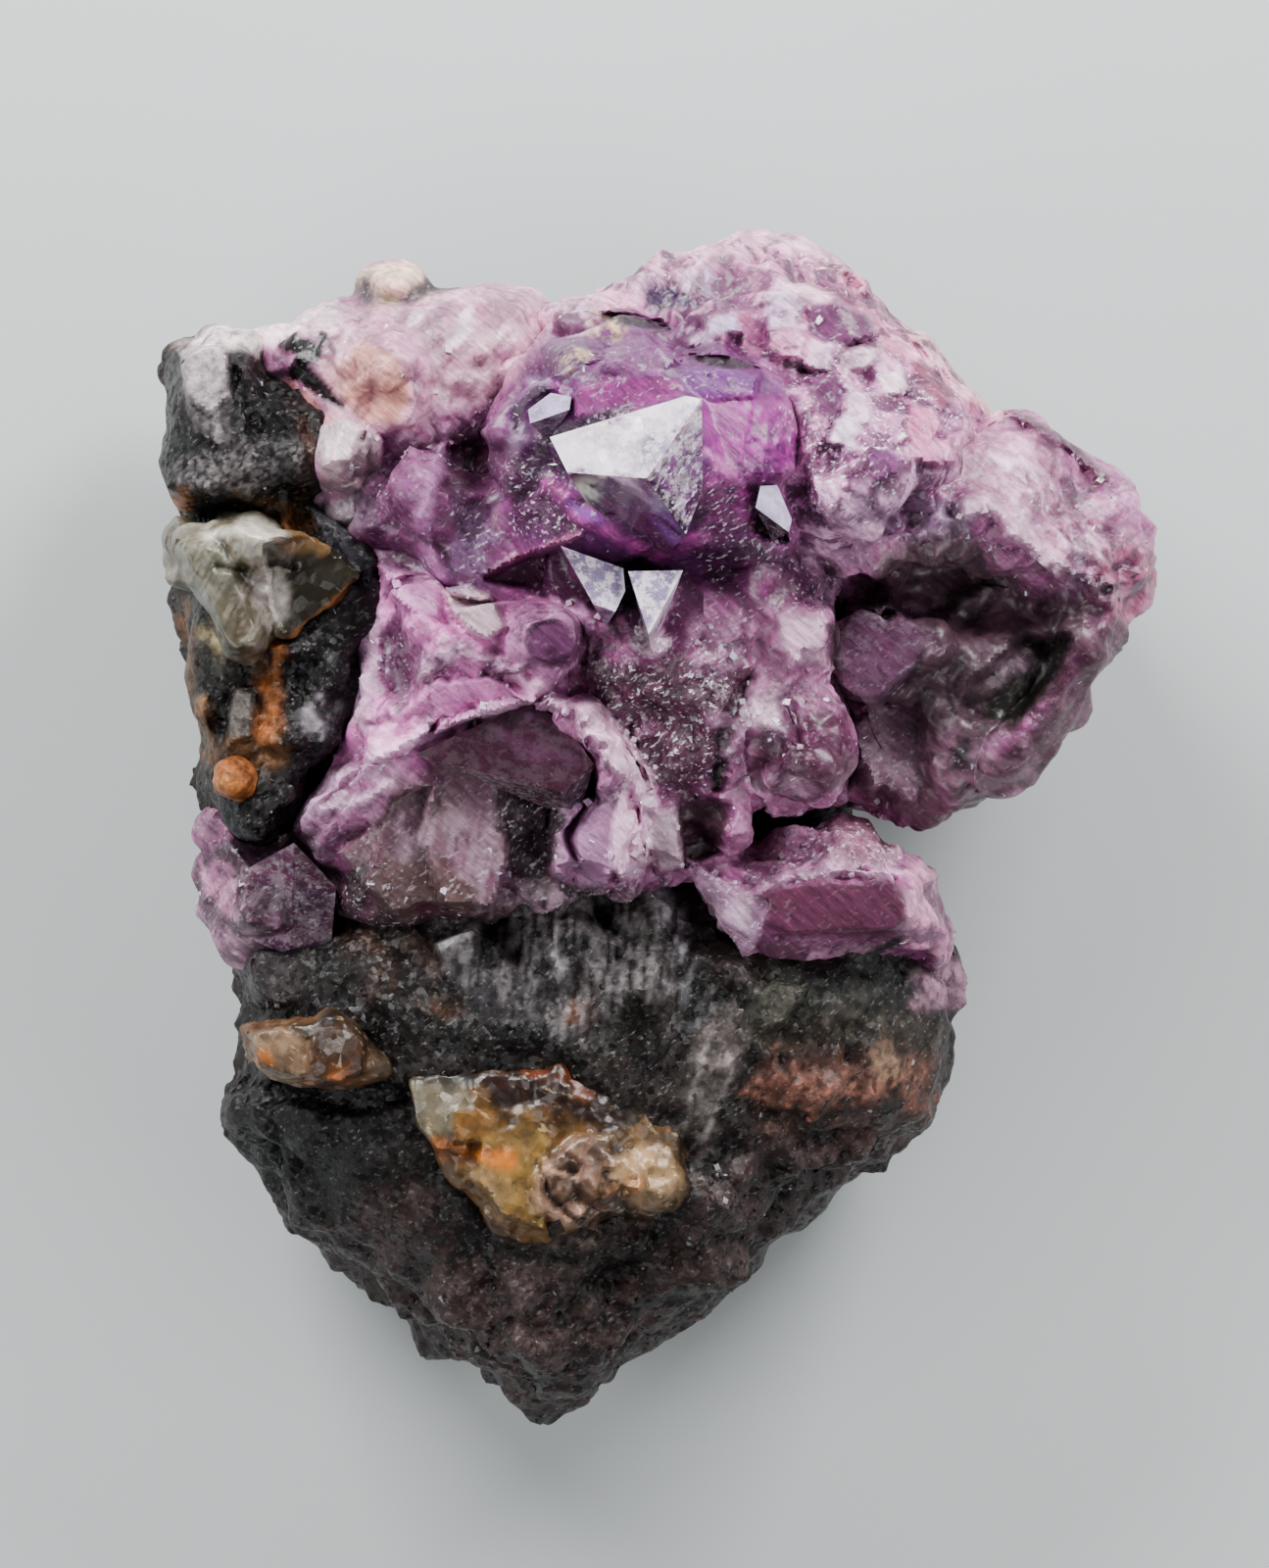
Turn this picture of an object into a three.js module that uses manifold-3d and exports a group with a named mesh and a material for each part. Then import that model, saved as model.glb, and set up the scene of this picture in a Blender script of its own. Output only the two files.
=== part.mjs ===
// A cobaltoan calcite specimen: a pink crystal crust on dark wall rock, with two pieces of golden
// carbonate and a ledge of white quartz. It lies on its broken back with the crystals facing up.
// Millimetres, +X to the right of the face, +Y to its top, +Z out of it, table at z = 0.
import * as THREE from "three";
import { ConvexGeometry } from "three/addons/geometries/ConvexGeometry.js";
import { mergeVertices } from "three/addons/utils/BufferGeometryUtils.js";
import Module from "manifold-3d";

const wasm = await Module();
wasm.setup();

// Driving dimensions
const specimenWidth = 25.5;
const specimenHeight = 30.1;
const specimenThickness = 17.5;
const backTrim = 0.55; // how much of the lowest lumps is worn flat where it lies
const joint = 0.3; // gap between minerals that touch
const edgeLean = THREE.MathUtils.degToRad(47); // a crystal's edges from its own axis
const faceLean = THREE.MathUtils.degToRad(52); // a crystal's face directions from its own axis
const usualDetail = 2;
const ballTurn = new THREE.Euler(0.3, 0.2, 0.1);
const goldenTurn = Math.PI * (3 - Math.sqrt(5));

// Numbers that look random and are the same every time, one per cell of a lattice.
function hash(i, j, k, salt) {
  const s = Math.sin(i * 127.1 + j * 311.7 + k * 74.7 + salt * 53.3) * 43758.5453;
  return s - Math.floor(s);
}

// Three directions at the same lean from +Z, a third of a turn apart.
function trigonal(lean, spin = 0) {
  return [0, 1, 2].map((k) => {
    const turn = spin + (k * 2 * Math.PI) / 3;
    const flat = Math.sin(lean);
    return new THREE.Vector3(flat * Math.cos(turn), flat * Math.sin(turn), Math.cos(lean));
  });
}

// A calcite rhomb: its three face directions, turned by a rotation that its cell picks.
const rhombFaces = trigonal(faceLean);
function rhombOfCell(i, j, k, cell, size) {
  const random = (salt) => hash(i, j, k, salt);
  const centre = new THREE.Vector3(i + random(1), j + random(2), k + random(3)).multiplyScalar(cell);
  const turn = new THREE.Euler(
    (random(4) - 0.5) * 1.6,
    (random(5) - 0.5) * 1.6,
    random(6) * 2 * Math.PI,
  );
  return {
    centre,
    half: size * (0.5 + 0.5 * random(7)),
    faces: rhombFaces.map((face) => face.clone().applyEuler(turn)),
  };
}

// How far along a direction a point moves to leave the furthest of the rhombs scattered round it.
function rhombRelief(point, direction, cell, size) {
  const base = [point.x, point.y, point.z].map((value) => Math.floor(value / cell));
  let furthest = 0;
  for (let n = 0; n < 27; n += 1) {
    const step = [(n % 3) - 1, (Math.floor(n / 3) % 3) - 1, Math.floor(n / 9) - 1];
    const [i, j, k] = base.map((value, axis) => value + step[axis]);
    const rhomb = rhombOfCell(i, j, k, cell, size);
    const away = point.clone().sub(rhomb.centre);
    let enter = -Infinity;
    let leave = Infinity;
    for (const face of rhomb.faces) {
      const slope = face.dot(direction);
      const offset = face.dot(away);
      const first = (rhomb.half - offset) / slope;
      const second = (-rhomb.half - offset) / slope;
      enter = Math.max(enter, Math.min(first, second));
      leave = Math.min(leave, Math.max(first, second));
    }
    if (enter < leave) furthest = Math.max(furthest, leave);
  }
  return Math.min(furthest, size);
}

function centreOf(lump) {
  if (lump.centre) return new THREE.Vector3(lump.centre[0], lump.centre[1], 0);
  const total = lump.outline.reduce(([sx, sy], [x, y]) => [sx + x, sy + y], [0, 0]);
  const count = lump.outline.length;
  return new THREE.Vector3(total[0] / count, total[1] / count, 0);
}

// The point of a lump's outline in a direction from its centre, given as a share of a turn.
function outlineOf(lump) {
  const centre = centreOf(lump);
  if (lump.radii) {
    const [a, b] = lump.radii;
    return (turn) => {
      const angle = turn * 2 * Math.PI;
      return new THREE.Vector3(centre.x + a * Math.cos(angle), centre.y + b * Math.sin(angle), 0);
    };
  }
  const corners = lump.outline.map(([x, y]) => new THREE.Vector3(x, y, 0));
  return (turn) => {
    const angle = turn * 2 * Math.PI;
    const ray = new THREE.Vector3(Math.cos(angle), Math.sin(angle), 0);
    let furthest = 0;
    corners.forEach((corner, n) => {
      const side = corners[(n + 1) % corners.length].clone().sub(corner);
      const away = corner.clone().sub(centre);
      const across = ray.x * side.y - ray.y * side.x;
      const along = (away.x * side.y - away.y * side.x) / across;
      const share = (away.x * ray.y - away.y * ray.x) / across;
      if (share >= 0 && share <= 1 && along > furthest) furthest = along;
    });
    return centre.clone().addScaledVector(ray, furthest);
  };
}

// A point of a lump in a ball's direction, and the way out there: across the ball a lump runs out to
// its outline, and up and down it rises to its face and sinks to its back. A smaller power makes it
// squarer.
function lumpPoint(lump, rimAt, towards, grow) {
  const centre = centreOf(lump);
  const lean = lump.lean ?? [0, 0];
  const power = lump.power ?? 0.8;
  const relief = lump.relief ?? 0;
  const spread = Math.hypot(towards.x, towards.y);
  const rim = rimAt(Math.atan2(towards.y, towards.x) / (2 * Math.PI));
  const point = centre.clone().lerp(rim, spread);
  const face = lump.front + lean[0] * (point.x - centre.x) + lean[1] * (point.y - centre.y);
  const height = towards.z > 0 ? face : lump.back;
  point.z = lump.rim + (height - lump.rim) * Math.abs(towards.z) ** power;
  const outward = rim.clone().sub(centre).normalize().multiplyScalar(spread);
  outward.setZ(towards.z).normalize();
  const rough = relief ? rhombRelief(point, outward, lump.cell, relief) - 0.6 * relief : 0;
  point.addScaledVector(outward, rough + grow);
  return { point, outward };
}

function lumpGeometry(lump, grow) {
  const rimAt = outlineOf(lump);
  const ball = new THREE.IcosahedronGeometry(1, lump.detail ?? usualDetail);
  const spots = ball.getAttribute("position");
  const towards = new THREE.Vector3();
  for (let n = 0; n < spots.count; n += 1) {
    towards.fromBufferAttribute(spots, n).applyEuler(ballTurn);
    const { point } = lumpPoint(lump, rimAt, towards, grow);
    spots.setXYZ(n, point.x, point.y, point.z);
  }
  return ball;
}

// Small crystals spread evenly over a lump's face, each turned its own way.
function scattered(lump) {
  const rimAt = outlineOf(lump);
  const [count, length] = lump.crystals;
  return Array.from({ length: count }, (_, n) => {
    const random = (salt) => hash(n, count, length, salt);
    const rise = 1 - (0.9 * (n + 0.5)) / count;
    const flat = Math.sqrt(1 - rise * rise);
    const angle = n * goldenTurn;
    const towards = new THREE.Vector3(flat * Math.cos(angle), flat * Math.sin(angle), rise);
    const { point, outward } = lumpPoint(lump, rimAt, towards, 0);
    const size = length * (0.7 + 0.6 * random(1));
    const axis = outward.clone();
    axis.add(new THREE.Vector3(random(2) - 0.5, random(3) - 0.5, random(4) - 0.5)).normalize();
    const turn = new THREE.Quaternion().setFromUnitVectors(new THREE.Vector3(0, 0, -1), axis);
    return {
      tip: point.addScaledVector(axis, 0.35 * size).toArray(),
      edges: trigonal(edgeLean, random(5) * 2 * Math.PI).map((edge) =>
        edge.multiplyScalar(size).applyQuaternion(turn).toArray(),
      ),
    };
  });
}

// A crystal seen by the corner that points out of the crust: the corner, and three edges from it.
function crystalGeometry({ tip, edges }) {
  const corner = new THREE.Vector3(...tip);
  const [a, b, c] = edges.map((edge) => new THREE.Vector3(...edge));
  const points = [];
  for (const i of [0, 1]) {
    for (const j of [0, 1]) {
      for (const k of [0, 1]) {
        points.push(
          corner.clone().addScaledVector(a, i).addScaledVector(b, j).addScaledVector(c, k),
        );
      }
    }
  }
  return new ConvexGeometry(points);
}

function solidOf(geometry) {
  const bare = geometry.clone();
  bare.deleteAttribute("normal");
  bare.deleteAttribute("uv");
  const merged = mergeVertices(bare, 1e-4);
  const solid = new wasm.Manifold(
    new wasm.Mesh({
      numProp: 3,
      vertProperties: merged.attributes.position.array,
      triVerts: new Uint32Array(merged.index.array),
    }),
  );
  return solid;
}

const joined = (solids) => solids.reduce((whole, solid) => whole.add(solid));
const lumps = (list, grow = 0) => joined(list.map((lump) => solidOf(lumpGeometry(lump, grow))));

// The one large body of a cut, without the chips that a cut leaves beside it.
function largest(solid) {
  return solid.decompose().reduce((best, body) => (body.volume() > best.volume() ? body : best));
}

// Wall rock: the pointed lower body, the slab behind the crust and the black wall at the left
const rockLumps = [
  {
    name: "lower body",
    centre: [-2.2, -6.2],
    outline: [
      [-11, -3], [-10.75, -5], [-10.9, -6.5], [-11.45, -7.25], [-10.9, -8.4], [-9.75, -9.4],
      [-9.5, -10.25], [-7.75, -11.25], [-6.5, -12.5], [-4.75, -13.6], [-3.4, -15], [-2.1, -14.9],
      [-1.25, -13.9], [0.5, -12.9], [2.25, -11.5], [2.5, -10.6], [4.25, -9.5], [5.5, -8.5],
      [6.9, -7.5], [7.2, -5.5], [7.4, -4], [6.5, -3.1], [4.2, -2.2], [0.5, -1.2], [-4.5, -0.8],
      [-8.2, -1.6],
    ],
    rim: 5.5,
    front: 11.6,
    back: 0.6,
    lean: [0.02, 0.16],
    power: 0.55,
    detail: 4,
    cell: 2.2,
    relief: 0.9,
  },
  {
    name: "back slab",
    outline: [
      [-11.3, 11.3], [-7, 12.6], [-3, 12.6], [1.75, 13.8], [5.5, 12.4], [8, 10], [10.3, 7.6],
      [10.2, 4.6], [7.6, 2.6], [4.2, 1], [3.9, -0.8], [6, -3], [6.4, -5], [5.2, -7.5], [0.3, -11.3],
      [-2.6, -13.6], [-6.8, -10.8], [-10, -7.6], [-10.2, -3], [-10.8, 1], [-11.6, 4], [-11.6, 8],
    ],
    rim: 4,
    front: 8,
    back: 0,
    power: 0.5,
    detail: 3,
    cell: 3.6,
    relief: 1.2,
  },
  {
    name: "left wall",
    outline: [
      [-12.6, 12.9], [-11.75, 13.3], [-10.2, 13.1], [-9.5, 11], [-9, 9.25], [-8.6, 7.75],
      [-7.5, 6.5], [-7.6, 5], [-8, 3], [-8.4, 1.25], [-9.9, -0.3], [-10.75, -0.8], [-11.4, 0.3],
      [-11.85, 1.75], [-12, 3.5], [-12.2, 5.3], [-12.4, 7.3], [-12.8, 9.2], [-12.5, 10.7],
    ],
    rim: 6,
    front: 12.3,
    back: 2,
    lean: [0.12, 0],
    power: 0.55,
    detail: 3,
    cell: 1.9,
    relief: 0.8,
  },
];

// Golden carbonate set in the lower body, and the chip of it at the left edge
const goldenLump = {
  centre: [-2.9, -8.4],
  outline: [
    [-6.7, -6.4], [-5.2, -6], [-3.8, -6.1], [-2.2, -5.8], [0, -5.9], [0.6, -7.2], [0.4, -9.4],
    [-0.8, -10.4], [-2.6, -10.6], [-3.9, -10.2], [-4.8, -9.2], [-6.4, -8.8], [-6.8, -7.6],
  ],
  rim: 8.6,
  front: 12.6,
  back: 7,
  lean: [0, -0.05],
  power: 0.5,
  detail: 3,
  cell: 1.7,
  relief: 0.9,
};
const goldenLedge = {
  outline: [
    [-10.9, -5.5], [-10.2, -5], [-8.2, -4.9], [-7, -5.3], [-7.1, -6.3], [-7.8, -6.9],
    [-9, -6.9], [-10.6, -6.5],
  ],
  rim: 8,
  front: 11.2,
  back: 6,
  power: 0.45,
  cell: 1.6,
  relief: 0.6,
};

// White quartz ledge across the left wall
const quartzLedge = {
  outline: [
    [-12.6, 7.3], [-11, 7.5], [-9.4, 7.3], [-8.4, 6.2], [-9, 5.2], [-10.2, 4.2], [-11.4, 4.1],
    [-12.1, 5.2],
  ],
  rim: 8,
  front: 12.9,
  back: 6.5,
  power: 0.5,
  cell: 1.7,
  relief: 0.6,
};

// Pink calcite: the crust is a heap of lumps, grown into one another
const calciteLumps = [
  {
    name: "crown",
    centre: [2.6, 11.9],
    outline: [
      [-3.5, 13.3], [-2, 13.6], [-0.75, 14.3], [0.5, 14.75], [1.75, 15], [3.5, 14.95], [5, 14.1],
      [6.75, 12.5], [8.4, 10.9], [8, 9.6], [5.5, 8], [2, 8.6], [-1.5, 10], [-3.6, 11.4],
    ],
    rim: 5.5,
    front: 13.6,
    back: 4,
    lean: [-0.05, -0.55],
    power: 0.7,
    detail: 3,
    cell: 1.9,
    relief: 0.9,
    crystals: [12, 1.4],
  },
  {
    name: "dome",
    centre: [0.3, 8.2],
    radii: [4.8, 4.6],
    rim: 8,
    front: 16.6,
    back: 6,
    detail: 3,
    cell: 2.2,
    relief: 1.2,
    crystals: [12, 2],
  },
  {
    name: "shoulder",
    centre: [5.4, 9.2],
    radii: [3.2, 2.9],
    rim: 7,
    front: 14,
    back: 5,
    cell: 1.4,
    relief: 0.8,
    crystals: [11, 1.3],
  },
  {
    name: "lobe top",
    outline: [
      [4.4, 9.3], [6.75, 10], [8.9, 10.5], [10.4, 9.4], [11.2, 8.7], [12, 7.9], [12.7, 6.4],
      [12.2, 5.6], [10.4, 5.5], [9.2, 6.1], [7.8, 6.8], [6.4, 6.6], [5, 6.4], [4, 6.8],
    ],
    rim: 7,
    front: 13,
    back: 5.5,
    lean: [-0.3, -0.35],
    power: 0.6,
    cell: 1.8,
    relief: 0.8,
    crystals: [10, 1.4],
  },
  {
    name: "lobe underside",
    outline: [
      [4.2, 7], [8, 7.4], [11, 6.8], [12.3, 6], [11.7, 5], [11.2, 4], [10.7, 3.2], [9.9, 1.9],
      [8, 0.6], [6.6, -0.4], [5.3, 0.4], [4.4, 0.9], [4, 3.5],
    ],
    rim: 6,
    front: 8.8,
    back: 4,
    power: 0.5,
    cell: 1.8,
    relief: 0.8,
    crystals: [7, 1.2],
  },
  {
    name: "lobe rim",
    outline: [
      [12.4, 6.3], [11.6, 4.9], [11.1, 3.9], [10.4, 2.7], [9.8, 1.8], [8.4, 0.9], [7.6, 1.1],
      [9, 2.4], [9.8, 4], [10.2, 5.2], [11, 6.3],
    ],
    rim: 6.5,
    front: 10.6,
    back: 4.5,
    cell: 1.2,
    relief: 0.5,
  },
  {
    name: "lobe bud",
    centre: [5.5, 4.4],
    radii: [1.1, 1.3],
    detail: 1,
    rim: 8,
    front: 11.6,
    back: 6,
    cell: 1.4,
    relief: 0.6,
  },
  {
    name: "lobe foot",
    centre: [6.3, 1.2],
    radii: [1.7, 1.3],
    rim: 6.5,
    front: 10,
    back: 5,
    cell: 1.4,
    relief: 0.7,
    crystals: [4, 1.1],
  },
  {
    name: "column",
    outline: [
      [1, 5.2], [2.75, 6.2], [3.9, 5.6], [4.3, 4], [4.9, 2.5], [4.95, 1.2], [4.4, 0.3], [3.4, 0.3],
      [2.3, 0.9], [1.3, 2.5],
    ],
    rim: 8,
    front: 14.6,
    back: 5,
    power: 0.7,
    cell: 1.6,
    relief: 0.8,
    crystals: [7, 1],
  },
  {
    name: "dark slope",
    outline: [
      [-3, 5.4], [2.2, 5.6], [2.4, 1.5], [1.9, -0.9], [-0.5, -1], [-1, 1.2], [-2.2, 3],
    ],
    rim: 7,
    front: 12.6,
    back: 5,
    lean: [0, 0.25],
    power: 0.6,
    cell: 1.4,
    relief: 0.8,
  },
  {
    name: "left fold",
    outline: [
      [-7.5, 6.6], [-6.4, 6.3], [-4.2, 5.6], [-2, 5.2], [-1, 4.6], [-1.8, 3.4], [-3.6, 3],
      [-5.8, 1.9], [-7.8, 1.2], [-8.3, 2.8], [-7.9, 4.8],
    ],
    rim: 7,
    front: 13.6,
    back: 5,
    power: 0.6,
    cell: 1.8,
    relief: 1,
    crystals: [6, 1.2],
  },
  {
    name: "lower fold",
    outline: [
      [-9.6, -0.2], [-8.5, 1.4], [-6.2, 2.6], [-4.8, 2.2], [-5.6, 0.9], [-7.4, -0.4], [-8.8, -1.1],
    ],
    rim: 8,
    front: 12.4,
    back: 6,
    power: 0.6,
    cell: 1.4,
    relief: 0.7,
  },
  {
    name: "pitted bud",
    centre: [-3.1, 4.7],
    radii: [1.5, 1.35],
    detail: 1,
    rim: 10,
    front: 15.2,
    back: 8,
    cell: 1.2,
    relief: 0.5,
  },
  {
    name: "rim plate",
    outline: [
      [-3.6, 3.4], [-2, 3.2], [-0.8, 1.5], [-0.5, -0.4], [-1.3, -0.3], [-1.5, 1.2], [-2.3, 2.3],
    ],
    detail: 1,
    rim: 10,
    front: 14.4,
    back: 7,
    cell: 1.2,
    relief: 0.5,
  },
  {
    name: "hanging plates",
    outline: [
      [-2, 1.2], [-1, 1], [-0.3, -0.6], [-0.4, -2.3], [-1.5, -2.5], [-2.6, -1.6], [-2.9, -0.3],
    ],
    rim: 8,
    front: 13.6,
    back: 6,
    power: 0.55,
    cell: 1.3,
    relief: 0.7,
  },
  {
    name: "smoky slope",
    outline: [
      [-8.6, 0.8], [-6, 2.3], [-3, 1.6], [-2, 0.2], [-2.2, -2.7], [-6.2, -3.6], [-8.5, -2.7],
    ],
    rim: 7,
    front: 11.8,
    back: 5,
    power: 0.6,
    cell: 1.8,
    relief: 0.9,
  },
  {
    name: "foot cluster",
    outline: [
      [-11.9, -1.25], [-11.7, 0.3], [-10.75, -0.2], [-9.5, 0], [-8.4, -0.9], [-8, -2.75],
      [-9.2, -4], [-10.9, -3.75], [-11.3, -2.6],
    ],
    rim: 6,
    front: 10.4,
    back: 4,
    power: 0.6,
    cell: 1.3,
    relief: 0.7,
    crystals: [6, 1.6],
  },
  {
    name: "shelf",
    outline: [
      [0.2, -1], [1.75, -0.6], [4.3, 0.1], [5, 0], [6, -0.75], [6.75, -1], [6.9, -1.6],
      [7.6, -2.9], [7.2, -3.8], [6.2, -3.7], [4.25, -3.3], [2.2, -3.8], [0.9, -2.8],
    ],
    rim: 6.5,
    front: 12.6,
    back: 5,
    lean: [-0.2, 0],
    power: 0.6,
    cell: 1.6,
    relief: 0.8,
    crystals: [7, 1.3],
  },
  {
    name: "upper left mass",
    outline: [
      [-10.3, 12.5], [-8.75, 13.2], [-7, 13.4], [-4.5, 13.85], [-3.3, 13.5], [-2.6, 12.3],
      [-4.3, 10], [-5.75, 9], [-7.5, 8], [-9, 8.7], [-9.4, 10.5],
    ],
    rim: 6,
    front: 11.8,
    back: 4,
    lean: [0, -0.2],
    power: 0.6,
    cell: 1.9,
    relief: 0.9,
    crystals: [3, 1.2],
  },
  {
    name: "salmon dome",
    centre: [-7.2, 11.2],
    radii: [1.7, 1.6],
    rim: 8,
    front: 13.2,
    back: 6,
  },
  {
    name: "milky bud",
    centre: [-8.2, 9.4],
    radii: [1, 1.1],
    detail: 1,
    rim: 8.5,
    front: 12.6,
    back: 7,
  },
  {
    name: "purple hollow",
    outline: [[-7.9, 9.4], [-4.5, 10.4], [-2.6, 8], [-3.4, 5.8], [-6.2, 6.2], [-8.2, 7.4]],
    rim: 6,
    front: 10.6,
    back: 4,
    power: 0.6,
    cell: 1.7,
    relief: 0.9,
    crystals: [3, 1.3],
  },
];

// The black hole below the column
const cavity = { centre: [0.9, 0], radii: [0.85, 0.7], detail: 1, rim: 12, front: 16, back: 8.6 };

// Crystals with clean faces, each by its outer corner and the three edges that leave it
const crystals = [
  {
    name: "central crystal",
    tip: [-0.5, 8.8, 18.1],
    edges: [[1.4, 2.1, -1.5], [-2.5, 0.15, -1.6], [1.2, -1.8, -2.2]],
  },
  {
    name: "hanging crystal",
    tip: [-0.4, 4.75, 16.9],
    edges: [[0.85, 1.7, -0.6], [-0.7, 1.8, -0.7], [0.1, -0.3, -2.2]],
  },
  {
    name: "second crystal",
    tip: [-1.4, 5.4, 16.4],
    edges: [[0.4, 1.5, -0.5], [-1.4, 1.5, -0.4], [0, -0.4, -2.2]],
  },
  {
    name: "far left crystal",
    tip: [-3.4, 10.3, 15.5],
    edges: [[1, 0.7, -0.5], [-0.3, 1, -0.9], [0.3, -0.8, -1.8]],
  },
  {
    name: "right crystal",
    tip: [3.1, 7.6, 15.8],
    edges: [[-0.8, 1.1, -0.8], [0.5, 0.8, -0.9], [-0.6, -0.5, -1.5]],
  },
  {
    name: "smoky crystal",
    tip: [-3.3, 2.9, 13.9],
    edges: [[-2.4, -0.9, -1], [1.9, -1.6, -1.2], [-0.4, -1.6, -1.6]],
  },
  {
    name: "dark prism on the lobe",
    tip: [11.2, 8.9, 10.6],
    edges: [[-2.2, 1.6, 0.5], [-0.5, -0.9, 0.5], [0.2, -0.3, -2.6]],
  },
  {
    name: "shelf crystal",
    tip: [6.9, -1.5, 9.8],
    edges: [[-0.3, 1.3, -0.9], [0.7, -1.2, -0.8], [-1.9, -0.3, -0.6]],
  },
];

const table = solidOf(new THREE.BoxGeometry(60, 60, 20).translate(0, 0, backTrim - 10));
const goldenSolid = largest(lumps([goldenLump]).subtract(lumps([goldenLedge], joint)));
const goldenLedgeSolid = lumps([goldenLedge]);
const quartzSolid = lumps([quartzLedge]);
const setIn = lumps([goldenLump, goldenLedge, quartzLedge], joint);
const rockSolid = largest(lumps(rockLumps).subtract(setIn).subtract(table));
const rockRoom = lumps(rockLumps, joint);
const druse = calciteLumps.filter((lump) => lump.crystals).flatMap(scattered);
const crystalSolids = [...crystals, ...druse].map((crystal) => solidOf(crystalGeometry(crystal)));
const crustSolid = largest(
  joined([lumps(calciteLumps), ...crystalSolids])
    .subtract(lumps([cavity]))
    .subtract(rockRoom)
    .subtract(setIn),
);

function meshOf(solid, name, colour, roughness) {
  const made = solid.getMesh();
  const geometry = new THREE.BufferGeometry();
  geometry.setAttribute("position", new THREE.BufferAttribute(made.vertProperties, 3));
  geometry.setIndex(new THREE.BufferAttribute(made.triVerts, 1));
  const look = { color: colour, roughness, metalness: 0, flatShading: true };
  const mesh = new THREE.Mesh(geometry, new THREE.MeshStandardMaterial(look));
  mesh.name = name;
  return mesh;
}

const specimen = new THREE.Group();
specimen.add(
  meshOf(rockSolid, "wall_rock", 0x2b2422, 0.75),
  meshOf(crustSolid, "pink_calcite", 0xb57ea6, 0.35),
  meshOf(goldenSolid, "golden_carbonate", 0xa5793f, 0.45),
  meshOf(goldenLedgeSolid, "golden_ledge", 0x9a7048, 0.45),
  meshOf(quartzSolid, "quartz_ledge", 0xb9b9ac, 0.35),
);

// Brought to the specimen's own size, over the middle of its footprint and down on the table
const box = new THREE.Box3().setFromObject(specimen);
const middle = box.getCenter(new THREE.Vector3());
const whole = box.getSize(new THREE.Vector3());
const fit = [specimenWidth / whole.x, specimenHeight / whole.y, specimenThickness / whole.z];
for (const mesh of specimen.children) {
  mesh.geometry.translate(-middle.x, -middle.y, -box.min.z).scale(...fit);
}
export default specimen;
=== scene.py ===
import itertools
import math

import bpy
import numpy as np
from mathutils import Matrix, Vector


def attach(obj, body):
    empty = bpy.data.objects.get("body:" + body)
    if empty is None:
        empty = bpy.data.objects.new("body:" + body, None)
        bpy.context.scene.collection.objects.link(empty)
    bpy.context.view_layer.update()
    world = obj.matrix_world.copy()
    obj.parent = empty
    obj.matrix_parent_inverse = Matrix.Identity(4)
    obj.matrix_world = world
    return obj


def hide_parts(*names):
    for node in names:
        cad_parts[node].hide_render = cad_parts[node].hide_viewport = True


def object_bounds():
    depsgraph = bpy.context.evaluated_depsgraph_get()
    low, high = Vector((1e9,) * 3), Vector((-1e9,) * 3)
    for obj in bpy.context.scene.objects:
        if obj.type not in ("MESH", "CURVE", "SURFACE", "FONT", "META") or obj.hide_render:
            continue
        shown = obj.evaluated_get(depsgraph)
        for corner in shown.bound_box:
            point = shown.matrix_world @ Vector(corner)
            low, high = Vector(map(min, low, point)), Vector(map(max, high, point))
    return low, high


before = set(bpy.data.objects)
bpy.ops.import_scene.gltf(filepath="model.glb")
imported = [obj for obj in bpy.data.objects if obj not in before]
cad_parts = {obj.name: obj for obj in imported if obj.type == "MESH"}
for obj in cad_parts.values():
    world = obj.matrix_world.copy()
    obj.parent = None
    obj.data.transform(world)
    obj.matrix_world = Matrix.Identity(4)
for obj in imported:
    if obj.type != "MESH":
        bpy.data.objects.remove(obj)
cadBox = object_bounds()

mm = 0.001
pixelsPerMm = 40
originPixel = (680, 840)  # the picture's pixel at x = 0, y = 0
pictureMiddle = (647.5, 800)
edgeLean = math.radians(47)  # a crystal's edges from its own axis
faceLean = math.radians(52)  # a crystal's face directions from its own axis
cellSteps = (127.1, 311.7, 74.7, 53.3)  # uneven, so that no two lattice cells share their numbers
cellStretch = 43758.5453
rhombTilt = 1.8  # how far the rhombs of a druse lean, in radians from one side to the other
rhombSpread = 0.3  # how much further the largest rhombs reach than the smallest, in cells
finishKeys = ("frost", "glitter", "scratches")


# Millimetres from pixels: x = (column - origin column) / scale, y = (origin row - row) / scale
def spot(column, row):
    return (column - originPixel[0]) / pixelsPerMm, (originPixel[1] - row) / pixelsPerMm


# Linear light from an sRGB colour: ((c + 0.055) / 1.055) to the power 2.4, or c / 12.92 when dark
def linear(colour):
    c = np.asarray(colour, float) / 255
    return np.where(c > 0.04045, ((c + 0.055) / 1.055) ** 2.4, c / 12.92)


# A number from 0 to 1 for each lattice cell: what follows the point in a large sine of its indices
def cellNumber(i, j, k, salt):
    stepI, stepJ, stepK, stepSalt = cellSteps
    s = np.sin(i * stepI + j * stepJ + k * stepK + salt * stepSalt) * cellStretch
    return s - np.floor(s)


# Smooth noise from 0 to 1: the cell numbers of a lattice, blended along x, y and z by
# t * t * (3 - 2 * t)
def softNoise(points, cell, salt=0):
    place = points / cell
    base = np.floor(place)
    t = place - base
    t = t * t * (3 - 2 * t)
    total = np.zeros(len(points))
    for corner in itertools.product((0, 1), repeat=3):
        share = np.prod(np.where(corner, t, 1 - t), axis=1)
        total += share * cellNumber(*(base + corner).T, salt)
    return total


# Three octaves of smooth noise, each half the size and half the strength of the last
def roughNoise(points, cell, salt=0):
    halves = (1, 0.5, 0.25)
    parts = [softNoise(points, cell * half, salt + n) * half for n, half in enumerate(halves)]
    return sum(parts) / sum(halves)


# Rises smoothly from 0 at low to 1 at high
def ramp(value, low, high):
    t = np.clip((value - low) / (high - low), 0, 1)
    return t * t * (3 - 2 * t)


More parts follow.
